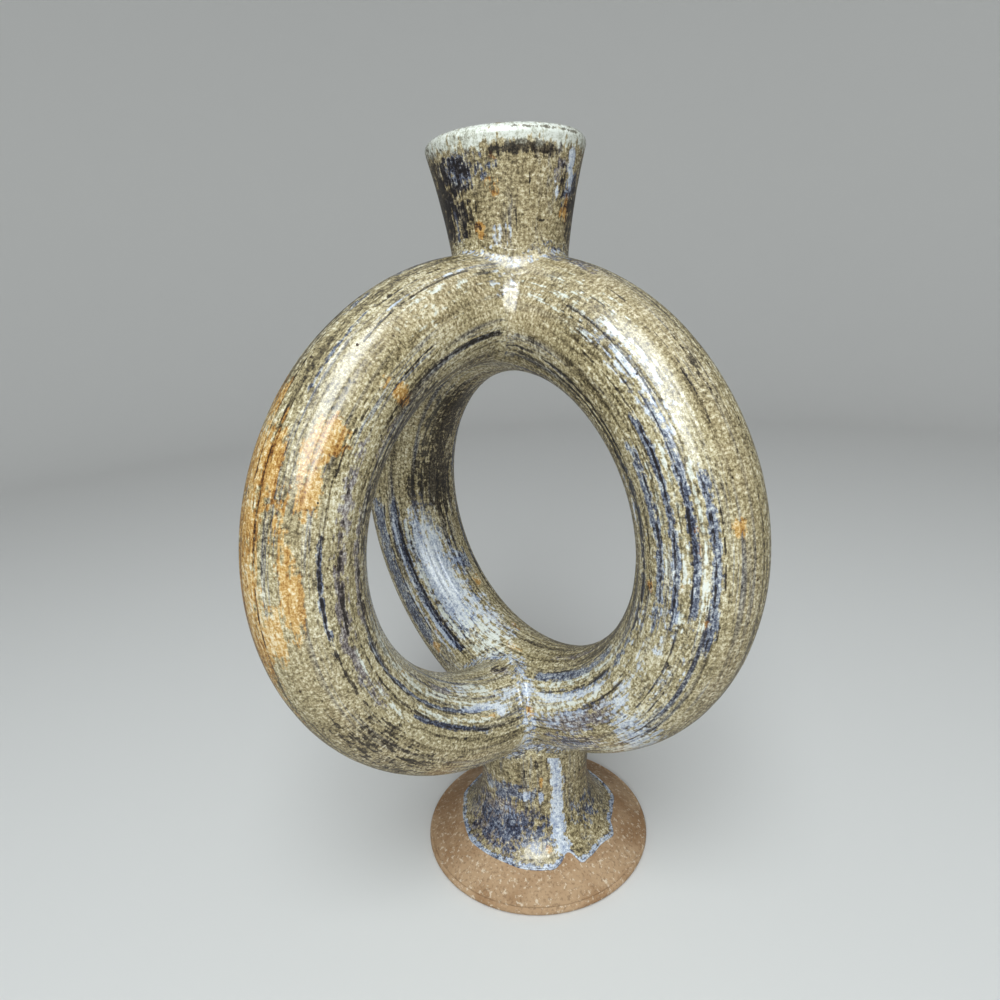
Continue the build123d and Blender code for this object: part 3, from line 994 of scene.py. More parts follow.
# %% Marks on the sides that no picture shows
def hidden_marks(seed, along_range, around_range, count):
    """Bands, pools and pits of the same kinds as on the shown side."""
    rng = np.random.RandomState(seed)
    marks = {"cobalt": [], "milk": [], "iron": [], "rust": [], "plum": [], "calm": []}
    for _ in range(count):
        start = rng.uniform(*along_range)
        length = rng.uniform(14, 60)
        around = rng.uniform(*around_range)
        drift = rng.uniform(-2, 2, 3)
        points = [(start + length * i / 2, around + drift[i]) for i in range(3)]
        marks["iron"].append(("band", points, rng.uniform(1.2, 3.2), rng.uniform(0.45, 0.85)))
        if rng.rand() < 0.42:
            marks["cobalt"].append(("band", points, rng.uniform(4, 8), rng.uniform(0.5, 0.9)))
        if rng.rand() < 0.16:
            pool = [(a, b + 5) for a, b in points]
            marks["milk"].append(("band", pool, rng.uniform(3, 7), rng.uniform(0.4, 0.8)))
        if rng.rand() < 0.12:
            size = rng.uniform(2, 7), rng.uniform(4, 10)
            marks["rust"].append(("spot", (start, around), size, rng.uniform(0.3, 0.8)))
        if rng.rand() < 0.15:
            size = rng.uniform(8, 18), rng.uniform(5, 10)
            marks["plum"].append(("spot", (start, around), size, rng.uniform(0.3, 0.6)))
        if rng.rand() < 0.3:
            marks["iron"].append(("spot", (start - 5, around + 4), (0.9, rng.uniform(2, 3.5)), 0.85))
    return marks


def merged(*sets):
    """Several sets of marks as one."""
    return {kind: [mark for one in sets for mark in one.get(kind, [])] for kind in sets[0]}


ring_marks = merged(ring_marks, hidden_marks(11, (-180, 180), (25, 158), 46))
half_marks = merged(half_marks, hidden_marks(12, (-90, 80), (-170, -28), 26))
print("marks on the ring:", count_marks(ring_marks), "half ring:", count_marks(half_marks))

# %% [markdown]
# ## Marks on the neck and the foot
#
# Both parts stand upright and glaze ran down them, so their marks are written in degrees round the axis
# and in millimetres of height.

# %% Marks on the neck and the foot
neck_marks = {
    "cobalt": [
        ("spot", (-86, 287), (26, 7), 0.7), ("spot", (-100, 276), (24, 14), 0.5),
        ("spot", (18, 280), (20, 9), 0.55), ("band", [(-62, 298), (-38, 298.3)], 1.2, 0.5),
        ("spot", (-98, 268), (6, 7), 0.5), ("run", [(13, 280), (12, 293)], 10, 0.35),
        ("spot", (-60, 288), (10, 4), 0.4), ("spot", (100, 282), (35, 9), 0.7),
        ("spot", (200, 272), (30, 9), 0.6), ("spot", (-41, 256), (6, 3), 0.5),
    ],
    "milk": [
        ("run", [(14, 280), (12, 287), (11, 293.5)], 8, 0.9), ("spot", (-96, 271), (3, 6), 0.6),
        ("spot", (-2, 279), (2.6, 3), 0.7), ("spot", (-5, 282.3), (0.8, 0.6), 1.0),
        ("spot", (-64, 261), (8, 3), 0.8), ("spot", (-27, 259), (8, 2.4), 0.9),
        ("spot", (-50, 266), (14, 5), 0.3), ("spot", (150, 285), (6, 7), 0.7),
        ("spot", (60, 270), (5, 10), 0.6), ("spot", (-41, 255), (8, 3), 0.7),
    ],
    "iron": [
        # The large iron spots round -112, -86 and 46 degrees make the neck's two flanks darker.
        ("spot", (-112, 279), (34, 18), 0.8), ("spot", (-86, 276), (18, 14), 0.42),
        ("spot", (26, 272), (16, 14), 0.62), ("spot", (46, 280), (20, 18), 0.7),
        ("spot", (-80, 288), (18, 4), 0.5), ("band", [(-56, 292), (-30, 292.5), (-8, 291.5)], 3.2, 0.8),
        ("spot", (22, 275), (14, 5), 0.75), ("spot", (-70, 268.7), (1.4, 1.0), 0.9),
        ("band", [(-40, 298.2), (15, 297.8)], 0.9, 0.6),
        ("band", [(-31, 273.4), (-27, 274), (-22, 273.2)], 0.5, 0.8),
        ("run", [(-38.5, 266), (-38, 274)], 1.0, 0.6), ("run", [(-18, 263), (-20, 273)], 1.2, 0.7),
        ("run", [(-27, 274), (-27.5, 285)], 0.9, 0.4), ("band", [(-22, 270), (-8, 270.5)], 0.5, 0.5),
        ("spot", (4, 283), (5, 6), 0.5), ("spot", (130, 275), (30, 12), 0.5),
        ("spot", (-150, 270), (25, 14), 0.5),
    ],
    "rust": [
        ("spot", (-70, 268), (6, 3.6), 1.0), ("spot", (13, 274), (6, 5), 1.0),
        ("spot", (5, 273), (3, 2), 0.6), ("spot", (-56, 281), (8, 4), 0.3),
        ("spot", (170, 268), (6, 4), 0.7), ("spot", (-55, 290), (5, 2), 0.3),
    ],
    "plum": [
        ("spot", (-110, 270), (20, 12), 0.5), ("spot", (0, 286), (9, 6), 0.5),
        ("spot", (80, 265), (30, 8), 0.5),
    ],
    "calm": [
        ("band", [(-180, 275), (0, 275), (180, 275)], 60, 0.7),
    ],
    "cream": [
        ("band", [(-180, 297.6), (0, 297.6), (180, 297.6)], 7.4, 0.85),
    ],
}
foot_marks = {
    "cobalt": [
        ("spot", (-75, 22), (60, 10), 0.55), ("spot", (-80, 38), (45, 6), 0.75),
        ("spot", (10, 24), (26, 9), 0.4), ("spot", (-60, 37), (12, 4), 0.7),
        ("spot", (-90, 36), (12, 5), 0.5), ("spot", (-55, 20), (14, 6), 0.45),
        ("spot", (-20, 40), (10, 10), 0.3), ("spot", (110, 30), (40, 8), 0.5),
        ("spot", (-150, 45), (25, 8), 0.5),
    ],
    "milk": [
        ("run", [(-26, 13), (-24, 30), (-22, 42), (-25, 56)], 11, 1.0), ("spot", (-55, 37.5), (5, 4), 0.8),
        ("spot", (-40, 36), (3, 3.2), 1.0), ("spot", (-57, 60), (5, 3), 0.6),
        ("spot", (-100, 34), (8, 3), 0.4), ("run", [(150, 13), (152, 50)], 7, 0.7),
        ("run", [(70, 16), (68, 40)], 5, 0.5), ("spot", (-75, 28), (16, 3), 0.25),
    ],
    "iron": [
        ("spot", (-43, 53), (3, 3), 0.6), ("spot", (-55, 49), (1.4, 4), 0.65),
        ("spot", (-110, 50), (20, 6), 0.3), ("spot", (-5, 55), (10, 5), 0.3),
        ("spot", (90, 55), (20, 6), 0.4),
    ],
    "rust": [
        ("spot", (-40, 44), (4, 3), 0.5), ("spot", (-36, 15), (3, 2), 0.5),
        ("spot", (120, 20), (8, 3), 0.4),
    ],
    "plum": [
        # The large plum spot round -85 degrees turns the foot purple-grey below the half donut.
        ("spot", (-85, 23), (52, 13), 0.85), ("spot", (-72, 38), (10, 4), 0.6),
        ("spot", (-60, 62), (30, 6), 0.3), ("spot", (170, 28), (50, 14), 0.7),
    ],
    "calm": [
        ("band", [(-180, 36), (0, 36), (180, 36)], 90, 0.5),
    ],
}
print("marks on the neck:", count_marks(neck_marks), "foot:", count_marks(foot_marks))

# %% [markdown]
# ## The line where the glaze ends
#
# The flange is bare clay. The glaze ran down and stopped in a wavy line with a few drips and one bare
# notch. The line is kept as a radius for each direction round the axis.

# %% The glaze line
glaze_line_places = [
    (-180, 36.5), (-165, 35.4), (-150, 36.8), (-138, 35.2), (-124.8, 35.5), (-111.6, 35.9),
    (-100.8, 37.1), (-90.6, 36.9), (-80.3, 36.8), (-68.3, 37.0), (-57.4, 37.8), (-45.7, 38.1),
    (-34.7, 38.3), (-29.1, 36.3), (-25.6, 34.2), (-22.2, 33.8), (-19.4, 34.6), (-17.0, 38.4),
    (-15.2, 39.0), (-12.4, 38.6), (-9.2, 38.4), (2, 37.5), (8.5, 37.9), (11.5, 38.4), (15.7, 39.1),
    (19.4, 38.2), (22.5, 37.1), (25, 35.9), (40, 36.2), (52, 38.0), (63, 37.2), (80, 35.4), (95, 36.8),
    (108, 39.2), (118, 36.4), (132, 35.3), (147, 37.4), (160, 38.6), (170, 36.9), (180, 36.5),
]


SMOOTHED_PLACES, OVERLAP = 19, 16


def glaze_line(degrees):
    """The radius, in metres, at which the glaze ends."""
    xs = np.array([a for a, _ in glaze_line_places])
    ys = np.array([r for _, r in glaze_line_places]) * MM
    dense = np.linspace(-180, 180, 1441)
    values = np.interp(dense, xs, ys)
    kernel = np.hanning(SMOOTHED_PLACES) / np.hanning(SMOOTHED_PLACES).sum()
    round_again = np.r_[values[-OVERLAP - 1:-1], values, values[1:OVERLAP + 1]]
    values = np.convolve(round_again, kernel, "same")[OVERLAP:-OVERLAP]
    return np.interp(degrees, dense, values)


def foot_height(radius):
    """The height of the foot's outside at a radius, on the flange and the bend."""
    outline = [(r, z) for r, z in foot_outer if edge_z <= z <= stem_z]
    return np.interp(-radius, [-r for r, _ in outline], [z for _, z in outline])


front_line = glaze_line(-60)
print("glaze ends at radius", round(float(front_line / MM), 1), "mm, height",
      round(float(foot_height(front_line) / MM), 1))

# %% [markdown]
# ## Marks onto the meshes
#
# A finish can only follow a mark that the mesh carries. Each piece keeps a value for each point and kind
# of mark, and three more: its share of outer skin, its bare clay and the painted shade of its inside.
# Painted textures would also do, but values on points need no unwrapping.

# %% Keeping one value for each point
KINDS = ("cobalt", "milk", "iron", "rust", "plum", "calm", "cream")
HALF_SHIFT, TURNED_SHIFT = 0.7, 1.3


def keep(mesh, name, values, kind="FLOAT"):
    """Stores one value or vector for each point of a mesh."""
    layer = mesh.attributes.get(name) or mesh.attributes.new(name, kind, "POINT")
    field = "vector" if kind == "FLOAT_VECTOR" else "value"
    layer.data.foreach_set(field, np.asarray(values, np.float32).ravel())


def keep_masks(piece, masks, skin, bare=None, dark=None):
    """Writes the masks, the share of skin, the bare clay and the painted shade of the inside onto a mesh.
    """
    count = len(piece.data.vertices)
    for kind in KINDS:
        keep(piece.data, kind, masks.get(kind, np.zeros(count)))
    keep(piece.data, "skin", skin)
    keep(piece.data, "bare", np.zeros(count) if bare is None else bare)
    # The inside mask carries the painted shade of the bores.
    keep(piece.data, "inside", np.zeros(count) if dark is None else dark)


print("kinds of mark:", ", ".join(KINDS))

# %% [markdown]
# ## Streaks along the tube, streaks down the wall
#
# On a donut `travel` follows the turning of the wheel. On the neck and the foot the streaks are those of
# the glaze that ran down, so there `travel` is the height and the radius.

# %% Coordinates and masks of tubes and of turned parts
def keep_tube_marks(piece, p, ring_side):
    """Keeps section and travel, and gives the masks of the donut that each point belongs to."""
    ring_along, ring_around, ring_u, ring_v = on_ring(p)
    half_along, half_around, half_u, half_v = on_half(p)
    section = [np.where(ring_side, ring_u, half_u), np.where(ring_side, ring_v, half_v), np.zeros(len(p))]
    angle = np.radians(np.where(ring_side, ring_along, half_along))
    reach = np.where(ring_side, ring_reach, half_reach)
    travel = [reach * np.cos(angle), reach * np.sin(angle), np.where(ring_side, 0.0, HALF_SHIFT)]
    keep(piece.data, "section", np.stack(section, -1), "FLOAT_VECTOR")
    keep(piece.data, "travel", np.stack(travel, -1), "FLOAT_VECTOR")
    return {kind: np.where(
        ring_side, paint(ring_marks.get(kind, []), ring_along, ring_around, True),
        paint(half_marks.get(kind, []), half_along, half_around, True)) for kind in KINDS}


def keep_turned_marks(piece, p, marks):
    """Keeps section and travel, and gives the masks of a turned part, whose glaze runs down."""
    radius = np.hypot(p[:, 0], p[:, 1])
    degrees = np.degrees(np.arctan2(p[:, 1], p[:, 0]))
    section = [p[:, 0], p[:, 1], np.zeros(len(p))]
    travel = [p[:, 2], radius, np.full(len(p), TURNED_SHIFT)]
    keep(piece.data, "section", np.stack(section, -1), "FLOAT_VECTOR")
    keep(piece.data, "travel", np.stack(travel, -1), "FLOAT_VECTOR")
    return {kind: paint(marks.get(kind, []), degrees, p[:, 2] / MM, False) for kind in KINDS}


print("coordinates: section across the wall, travel along the turning")

# %% [markdown]
# ## Pools in the joints
#
# Melted glaze gathers in every crease, where it turns milky and blue. The distance to the line of the
# crease gives each pool its soft edge.

# %% Glaze pools in the joints
def seam_pool(p, crease, reach):
    """1 on a crease and 0 further from it than the reach."""
    distance = np.full(len(p), 1.0)
    near = np.linalg.norm(p - crease.mean(0), axis=1) < 60 * MM
    for point in crease[::4]:
        distance[near] = np.minimum(distance[near], np.linalg.norm(p[near] - point, axis=1))
    t = np.clip(1 - distance / reach, 0, 1)
    return t * t * (3 - 2 * t)


POOL_SHARES = {"milk": (0.30, 0.42, 0.30, 0.35), "cobalt": (0.35, 0.5, 0.3, 0.65)}


def joint_pools(p, masks):
    """Adds pools along the upper and lower seams, round the neck and round the foot."""
    front = np.clip((p[:, 0] - p[:, 1]) / (20 * MM), 0, 1)
    above_hole = np.clip((p[:, 2] - 226 * MM) / (10 * MM), 0, 1)
    pools = (
        seam_pool(p, upper_crease, 3.4 * MM) * front * above_hole, seam_pool(p, lower_crease, 7 * MM),
        seam_pool(p, neck_crease, 4 * MM) * front, seam_pool(p, foot_crease, 6 * MM))
    for kind, shares in POOL_SHARES.items():
        filled = [share * pool for share, pool in zip(shares, pools)]
        masks[kind] = np.maximum.reduce([masks[kind], *filled])


print("pools of", " and ".join(POOL_SHARES), "in four joints")

# %% [markdown]
# ## Marking donuts and coils
#
# A coil takes the marks of the nearer donut, point by point, so that a band runs on over the joint.

# %% Marking the donuts and the coils
def mark_donut(piece, distance_to, is_ring):
    """Marks a donut. Its bore counts as inside, which is painted in shade."""
    p = places(piece.data)
    distance = distance_to(p)
    masks = keep_tube_marks(piece, p, np.full(len(p), is_ring))
    joint_pools(p, masks)
    keep_masks(piece, masks, distance > -0.3 * MM, dark=distance < -0.6 * MM)


def mark_coil(piece):
    """Marks a coil. Each of its points goes with the donut that is nearer."""
    p = places(piece.data)
    masks = keep_tube_marks(piece, p, to_ring(p) < to_half(p))
    joint_pools(p, masks)
    keep_masks(piece, masks, np.ones(len(p)))


mark_donut(ring, to_ring, True)
mark_donut(half_ring, to_half, False)
coils = (neck_coil, foot_coil, upper_seam_coil, lower_seam_coil)
for piece in coils:
    mark_coil(piece)
print("marked:", ring.name, half_ring.name, *(piece.name for piece in coils))

# %% [markdown]
# ## Inside the neck and under the foot
#
# Little light comes back out of the bore, and a darkening that grows with the depth says so. The foot was
# glazed only as far as the glaze line, and everything beyond and below it stays bare.

# %% Marking the neck and the foot
def mark_neck():
    """Marks the neck. Its bore is painted in shade, darker with the depth below the lip."""
    p = places(neck.data)
    height, radius = p[:, 2], np.hypot(p[:, 0], p[:, 1])
    masks = keep_turned_marks(neck, p, neck_marks)
    joint_pools(p, masks)
    wall = np.interp(height, [z for _, z in neck_wall], [r for r, _ in neck_wall])
    inner = (radius < wall - 1.5 * MM) & (height < rim_z - 2.5 * MM)
    keep_masks(neck, masks, ~inner, dark=inner * np.clip((rim_z - 3 * MM - height) / (12 * MM), 0, 1))


def mark_foot():
    """Marks the foot. Clay is bare beyond the glaze line and underneath, and glaze pools at the line."""
    p = places(foot.data)
    height, radius = p[:, 2], np.hypot(p[:, 0], p[:, 1])
    masks = keep_turned_marks(foot, p, foot_marks)
    joint_pools(p, masks)
    top = foot_height(radius)
    line = glaze_line(np.degrees(np.arctan2(p[:, 1], p[:, 0])))
    outer = (height > top - 0.4 * MM) & (height > 0.3 * MM) | (height > stem_z)
    bare = np.clip((radius - line) / (0.4 * MM) + 0.5, 0, 1) * (height < flange_z + 2 * MM)
    wall = np.interp(height, [z for _, z in foot_outer], [r for r, _ in foot_outer])
    under = (radius < wall - 2.5 * MM) & (height < top - 1.5 * MM)
    bare = np.maximum(bare, under | (height < 0.2 * MM))
    pool = np.clip(1 - np.abs(line - 0.9 * MM - radius) / (1.5 * MM), 0, 1)
    pool = pool * (height < flange_z + 3 * MM)
    masks["milk"] = np.maximum(masks["milk"], 0.55 * pool)
    masks["cobalt"] = np.maximum(masks["cobalt"], 0.75 * pool)
    keep_masks(foot, masks, outer * np.clip(height / (1.2 * MM), 0, 1), bare=bare)


mark_neck()
mark_foot()
print("marked:", neck.name, foot.name)

# %% [markdown]
# ## Throwing lines
#
# The potter's fingers leave grooves that run along the tube. They are one more geometry tree: noise that
# is drawn out along `travel` sinks the skin a tenth or two of a millimetre here and there, and painted
# dark bands are cut a little deeper, because glaze runs dark where it pools in a groove. The skin only
# ever moves inwards.

# %% Noise drawn out along the wheel's turning
def drawn_noise(w, section, travel, spacing, stretch, seed, detail=1.5):
    """Noise that changes within the spacing across the streaks and within the stretch along them."""
    s, t = w.parts(section), w.parts(travel)
    vector = w.join(
        w.math("DIVIDE", s["X"], spacing), w.math("DIVIDE", s["Y"], spacing),
        w.math("DIVIDE", t["X"], stretch))
    fourth = w.math("ADD", w.math("DIVIDE", t["Y"], stretch), w.math("ADD", t["Z"], seed))
    inputs = {"Vector": vector, "W": fourth, "Scale": 1.0, "Detail": detail, "Roughness": 0.55}
    return w.add("ShaderNodeTexNoise", inputs, noise_dimensions="4D").outputs[0]


def named(w, name, kind):
    """An attribute of the mesh, in a geometry tree."""
    node = w.add("GeometryNodeInputNamedAttribute", data_type=kind)
    node.inputs["Name"].default_value = name
    return node.outputs["Attribute"]


LINE_SPACING, LINE_STRETCH = 1.9 * MM, 70 * MM
line_tree, w, given, result = new_tree(
    "throwing lines", "GeometryNodeTree",
    [("Geometry", "Geometry"), ("Line Depth", "Float"), ("Lump Height", "Float"), ("Groove Depth", "Float"),
     ("Glaze Thickness", "Float"), ("Material", "Material")],
    [("Geometry", "Geometry")])
section, turning = named(w, "section", "FLOAT_VECTOR"), named(w, "travel", "FLOAT_VECTOR")
lines = drawn_noise(w, section, turning, LINE_SPACING, LINE_STRETCH, 0.0)
sunk = w.step(lines, 0.42, 0.66)
lumps = w.add("ShaderNodeTexNoise", {
    "Vector": w.add("GeometryNodeInputPosition").outputs[0], "Scale": 90.0, "Detail": 2.0}).outputs[0]
eased = w.math("SUBTRACT", 1.0, w.math("MULTIPLY", named(w, "calm", "FLOAT"), 0.8))
depth = w.math("MULTIPLY", w.math("MULTIPLY", sunk, given["Line Depth"]), eased)
depth = w.math("ADD", depth, w.math("MULTIPLY", lumps, given["Lump Height"]))
depth = w.math("ADD", depth, w.math("MULTIPLY", named(w, "iron", "FLOAT"), given["Groove Depth"]))
depth = w.math("ADD", depth, w.math("MULTIPLY", named(w, "bare", "FLOAT"), given["Glaze Thickness"]))
depth = w.math("MULTIPLY", depth, w.math("MULTIPLY", named(w, "skin", "FLOAT"), -1.0))
offset = w.vector("SCALE", w.add("GeometryNodeInputNormal").outputs[0], scale=depth)
moved = w.add("GeometryNodeSetPosition", {"Geometry": given["Geometry"], "Offset": offset})
real = w.add("GeometryNodeRealizeInstances", {"Geometry": moved.outputs[0]})
coated = w.add("GeometryNodeSetMaterial", {"Geometry": real.outputs[0], "Material": given["Material"]})
w.put(result["Geometry"], coated.outputs[0])
print("throwing lines tree:", len(line_tree.nodes), "nodes")

# %% [markdown]
# ## The ash glaze
#
# Wood-ash glaze breaks: it parts into pale khaki islands about a millimetre wide on a dark olive ground.
# Here this is one value between 0 and 1, the glaze's thickness, that a ramp of colours turns into ground,
# island and crest. Streaks along the wheel's turning thin it out, and so do the dark marks, so that a
# dark band isn't a stripe of one colour but a place with fewer islands. Each kind of coloured mark has a
# ramp of its own. The groups only make colours and numbers, and the shader stays in the material.

# %% The islands group
island_group, w, given, result = new_tree(
    "ash islands", "ShaderNodeTree",
    [("Vector", "Vector"), ("Section", "Vector"), ("Travel", "Vector"), ("Island Size", "Float"),
     ("Runs", "Float")],
    [("Islands", "Float"), ("Blots", "Float"), ("Grain", "Float"), ("Tone", "Float")])
scaled = w.vector("SCALE", given["Vector"], scale=w.math("DIVIDE", 1.0, given["Island Size"]))
round_noise = w.add(
    "ShaderNodeTexNoise", {"Vector": scaled, "Scale": 1.0, "Detail": 3.0, "Roughness": 0.65}).outputs[0]
long_noise = drawn_noise(w, given["Section"], given["Travel"], 0.75 * MM, 1.9 * MM, 5.0, 2.0)
cross_noise = drawn_noise(w, given["Section"], given["Travel"], 2.3 * MM, 0.80 * MM, 9.0, 2.0)
crossing = w.math("MULTIPLY", w.math("SUBTRACT", cross_noise, long_noise), given["Runs"])
directed = w.math("ADD", long_noise, crossing)
w.put(result["Islands"], w.math(
    "ADD", w.math("MULTIPLY", round_noise, 0.55), w.math("MULTIPLY", directed, 0.45)))
for label, scale, detail, roughness in (
        ("Blots", 0.4, 3.0, 0.6), ("Grain", 2.6, 1.5, 0.5), ("Tone", 0.07, 3.0, 0.6)):
    w.put(result[label], w.add("ShaderNodeTexNoise", {
        "Vector": scaled, "Scale": scale, "Detail": detail, "Roughness": roughness}).outputs[0])
print("ash islands group:", len(island_group.nodes), "nodes")

# %% [markdown]
# ## Streaks of the wheel
#
# Streaks of four widths lie over each other on the glaze: throwing lines, fine threads between them, wide
# washes of slate, and short streaks that break up the edges of marks. All four are the drawn-out noise
# with another spacing and stretch.

# %% The streaks group
streak_group, w, given, result = new_tree(
    "wheel streaks", "ShaderNodeTree", [("Section", "Vector"), ("Travel", "Vector"), ("Calm", "Float")],
    [("Lines", "Float"), ("Threads", "Float"), ("Washes", "Float"), ("Streaks", "Float")])
lines = drawn_noise(w, given["Section"], given["Travel"], LINE_SPACING, LINE_STRETCH, 0.0)
threads = drawn_noise(w, given["Section"], given["Travel"], 0.7 * MM, 18 * MM, 3.0)
washes = drawn_noise(w, given["Section"], given["Travel"], 6.5 * MM, 70 * MM, 7.0)
streaks = drawn_noise(w, given["Section"], given["Travel"], 0.9 * MM, 9 * MM, 11.0)
eased = w.math("SUBTRACT", 1.0, w.math("MULTIPLY", given["Calm"], 0.75))
w.put(result["Lines"], w.math("MULTIPLY", w.step(lines, 0.5, 0.66), eased))
w.put(result["Threads"], w.math("MULTIPLY", w.step(threads, 0.5, 0.68), eased))
w.put(result["Washes"], w.step(washes, 0.46, 0.66))
w.put(result["Streaks"], streaks)
print("wheel streaks group:", len(streak_group.nodes), "nodes")

# %% [markdown]
# ## Three helpers for colours
#
# Where two glazes overlap, one shows through the other. `tint` does that for colours and `blend` for
# numbers, and `ramp` picks a colour by how thick the glaze is.

# %% One colour over another, and colours over a value
def tint(w, below, above, share):
    """One colour laid over another."""
    node = w.add("ShaderNodeMix", data_type="RGBA")
    w.put(node.inputs[0], share)
    w.put(node.inputs[6], below)
    w.put(node.inputs[7], above)
    return node.outputs[2]


def ramp(w, value, *stops):
    """A run of colours over a value, from pairs of place and colour."""
    node = w.add("ShaderNodeValToRGB", {"Fac": value})
    band = node.color_ramp
    band.elements[0].position, band.elements[1].position = stops[0][0], stops[-1][0]
    for place, _ in stops[1:-1]:
        band.elements.new(place)
    for element, (_, shade) in zip(band.elements, stops):
        element.color = (*shade, 1)
    return node.outputs["Color"]


def blend(w, below, above, share):
    """One value over another."""
    kept = w.math("MULTIPLY", below, w.math("SUBTRACT", 1.0, share))
    return w.math("ADD", kept, w.math("MULTIPLY", above, share))


print("tint, ramp and blend ready")

# %% [markdown]
# ## Colours of the glaze
#
# The khaki ramp is the glaze itself: dark olive where it is thin, and nearly white on the thickest
# islands. Tan is its quieter form on calm stretches. The other ramps go from a thin dark to a thick
# light too, through the colour of their oxide, so that all kinds of glaze still look like one firing.
# Colours are in linear light.

# %% Colours from thin to thick glaze
GLAZE_RAMPS = {
    "khaki": [(0.0, (0.022, 0.017, 0.010)), (0.22, (0.075, 0.058, 0.029)), (0.42, (0.19, 0.152, 0.080)),
              (0.62, (0.40, 0.33, 0.175)), (0.82, (0.60, 0.525, 0.335)), (1.0, (0.84, 0.79, 0.62))],
    "tan": [(0.0, (0.030, 0.020, 0.009)), (0.25, (0.095, 0.068, 0.031)), (0.5, (0.25, 0.185, 0.095)),
            (0.75, (0.47, 0.38, 0.215)), (1.0, (0.80, 0.70, 0.50))],
    "plum": [(0.0, (0.026, 0.019, 0.020)), (0.3, (0.085, 0.068, 0.076)), (0.55, (0.22, 0.19, 0.20)),
             (0.8, (0.45, 0.42, 0.42)), (1.0, (0.74, 0.72, 0.66))],
    "slate": [(0.0, (0.010, 0.011, 0.023)), (0.22, (0.028, 0.034, 0.062)), (0.42, (0.090, 0.108, 0.165)),
              (0.62, (0.27, 0.30, 0.36)), (0.82, (0.52, 0.55, 0.56)), (1.0, (0.82, 0.83, 0.80))],
    "rust": [(0.0, (0.085, 0.030, 0.008)), (0.25, (0.25, 0.105, 0.022)), (0.5, (0.49, 0.255, 0.060)),
             (0.75, (0.69, 0.45, 0.165)), (1.0, (0.88, 0.76, 0.52))],
    "milk": [(0.0, (0.075, 0.095, 0.18)), (0.35, (0.20, 0.24, 0.37)), (0.65, (0.43, 0.49, 0.60)),
             (1.0, (0.76, 0.80, 0.84))],
    "cream": [(0.0, (0.15, 0.145, 0.11)), (0.4, (0.33, 0.325, 0.255)), (0.75, (0.60, 0.61, 0.52)),
              (1.0, (0.80, 0.82, 0.75))],
    "iron": [(0.0, (0.014, 0.011, 0.009)), (0.3, (0.055, 0.044, 0.032)), (0.7, (0.20, 0.175, 0.13)),
             (1.0, (0.52, 0.50, 0.44))],
}
# Painted shade: the colour laid over the bores, where little light comes in.
PAINTED_SHADE_IN_BORES = (0.045, 0.038, 0.030, 1)
print("glaze ramps:", ", ".join(GLAZE_RAMPS))

# %% [markdown]
# ## Thickness, and the colour group
#
# Islands, grain and a slow change of tone add up to the thickness. Grooves, threads, iron and cobalt take
# from it, and milk and cream add to it. A painted mask alone would have a clean edge, which glaze never
# has, so blots and streaks are added to it first, and it is cut off hard: the edge of a mark then breaks
# up into the same blots.

# %% The colour group's inputs and worn masks
PAINTED = ("cobalt", "milk", "iron", "rust", "plum", "cream", "inside")
colour_group, w, given, result = new_tree(
    "ash glaze colours", "ShaderNodeTree",
    [("Islands", "Float"), ("Blots", "Float"), ("Grain", "Float"), ("Tone", "Float"), ("Lines", "Float"),
     ("Threads", "Float"), ("Washes", "Float"), ("Streaks", "Float"), ("Cover", "Float"), ("Calm", "Float"),
     *((kind.capitalize(), "Float") for kind in PAINTED)],
    [("Color", "Color"), ("Roughness", "Float"), ("Height", "Float")])
wear = w.math("ADD", w.math("MULTIPLY", w.math("SUBTRACT", given["Blots"], 0.5), 1.9),
              w.math("MULTIPLY", w.math("SUBTRACT", given["Streaks"], 0.5), 1.7))


def broken(mask, low=0.22, high=0.60):
    """A painted mask with an edge that blots and streaks break up."""
    painted_at_all = w.math("MINIMUM", w.math("MULTIPLY", mask, 6.0), 1.0)
    return w.step(w.math("MULTIPLY", w.math("ADD", mask, wear), painted_at_all), low, high)


worn = {kind: broken(given[kind.capitalize()]) for kind in PAINTED if kind != "inside"}
print("worn masks:", ", ".join(worn))

# %% The glaze's thickness as one value
value = w.math("MULTIPLY", w.math("SUBTRACT", given["Islands"], 0.5), 2.6)
for source, amount in (("Grain", 0.7), ("Tone", 0.6)):
    value = w.math("ADD", value, w.math("MULTIPLY", w.math("SUBTRACT", given[source], 0.5), amount))
value = w.math("ADD", value, given["Cover"])
for share, amount in (
        (given["Lines"], -0.26), (given["Threads"], -0.11), (worn["iron"], -0.40), (worn["cobalt"], -0.12),
        (worn["plum"], -0.08), (worn["milk"], 0.24), (worn["cream"], 0.28)):
    value = w.math("ADD", value, w.math("MULTIPLY", share, amount))
value = w.math("MINIMUM", w.math("MAXIMUM", value, 0.0), 1.0)
print("thickness made of", len(colour_group.nodes), "nodes so far")

# %% Colours laid over each other
shades = {name: ramp(w, value, *stops) for name, stops in GLAZE_RAMPS.items()}
slate_wash = w.math("MULTIPLY", given["Washes"], w.math("MAXIMUM", given["Lines"], given["Threads"]))
calm_share = w.math("MULTIPLY", given["Calm"], w.step(given["Tone"], 0.36, 0.60, 0.35, 0.9))
colour = tint(w, shades["khaki"], shades["tan"], calm_share)
for shade, mask, share in (
        ("plum", worn["plum"], 0.85), ("slate", slate_wash, 0.8), ("slate", worn["cobalt"], 0.95),
        ("rust", worn["rust"], 0.92), ("milk", worn["milk"], 0.92), ("cream", worn["cream"], 1.0),
        ("iron", worn["iron"], 0.7)):
    colour = tint(w, colour, shades[shade], w.math("MULTIPLY", mask, share))
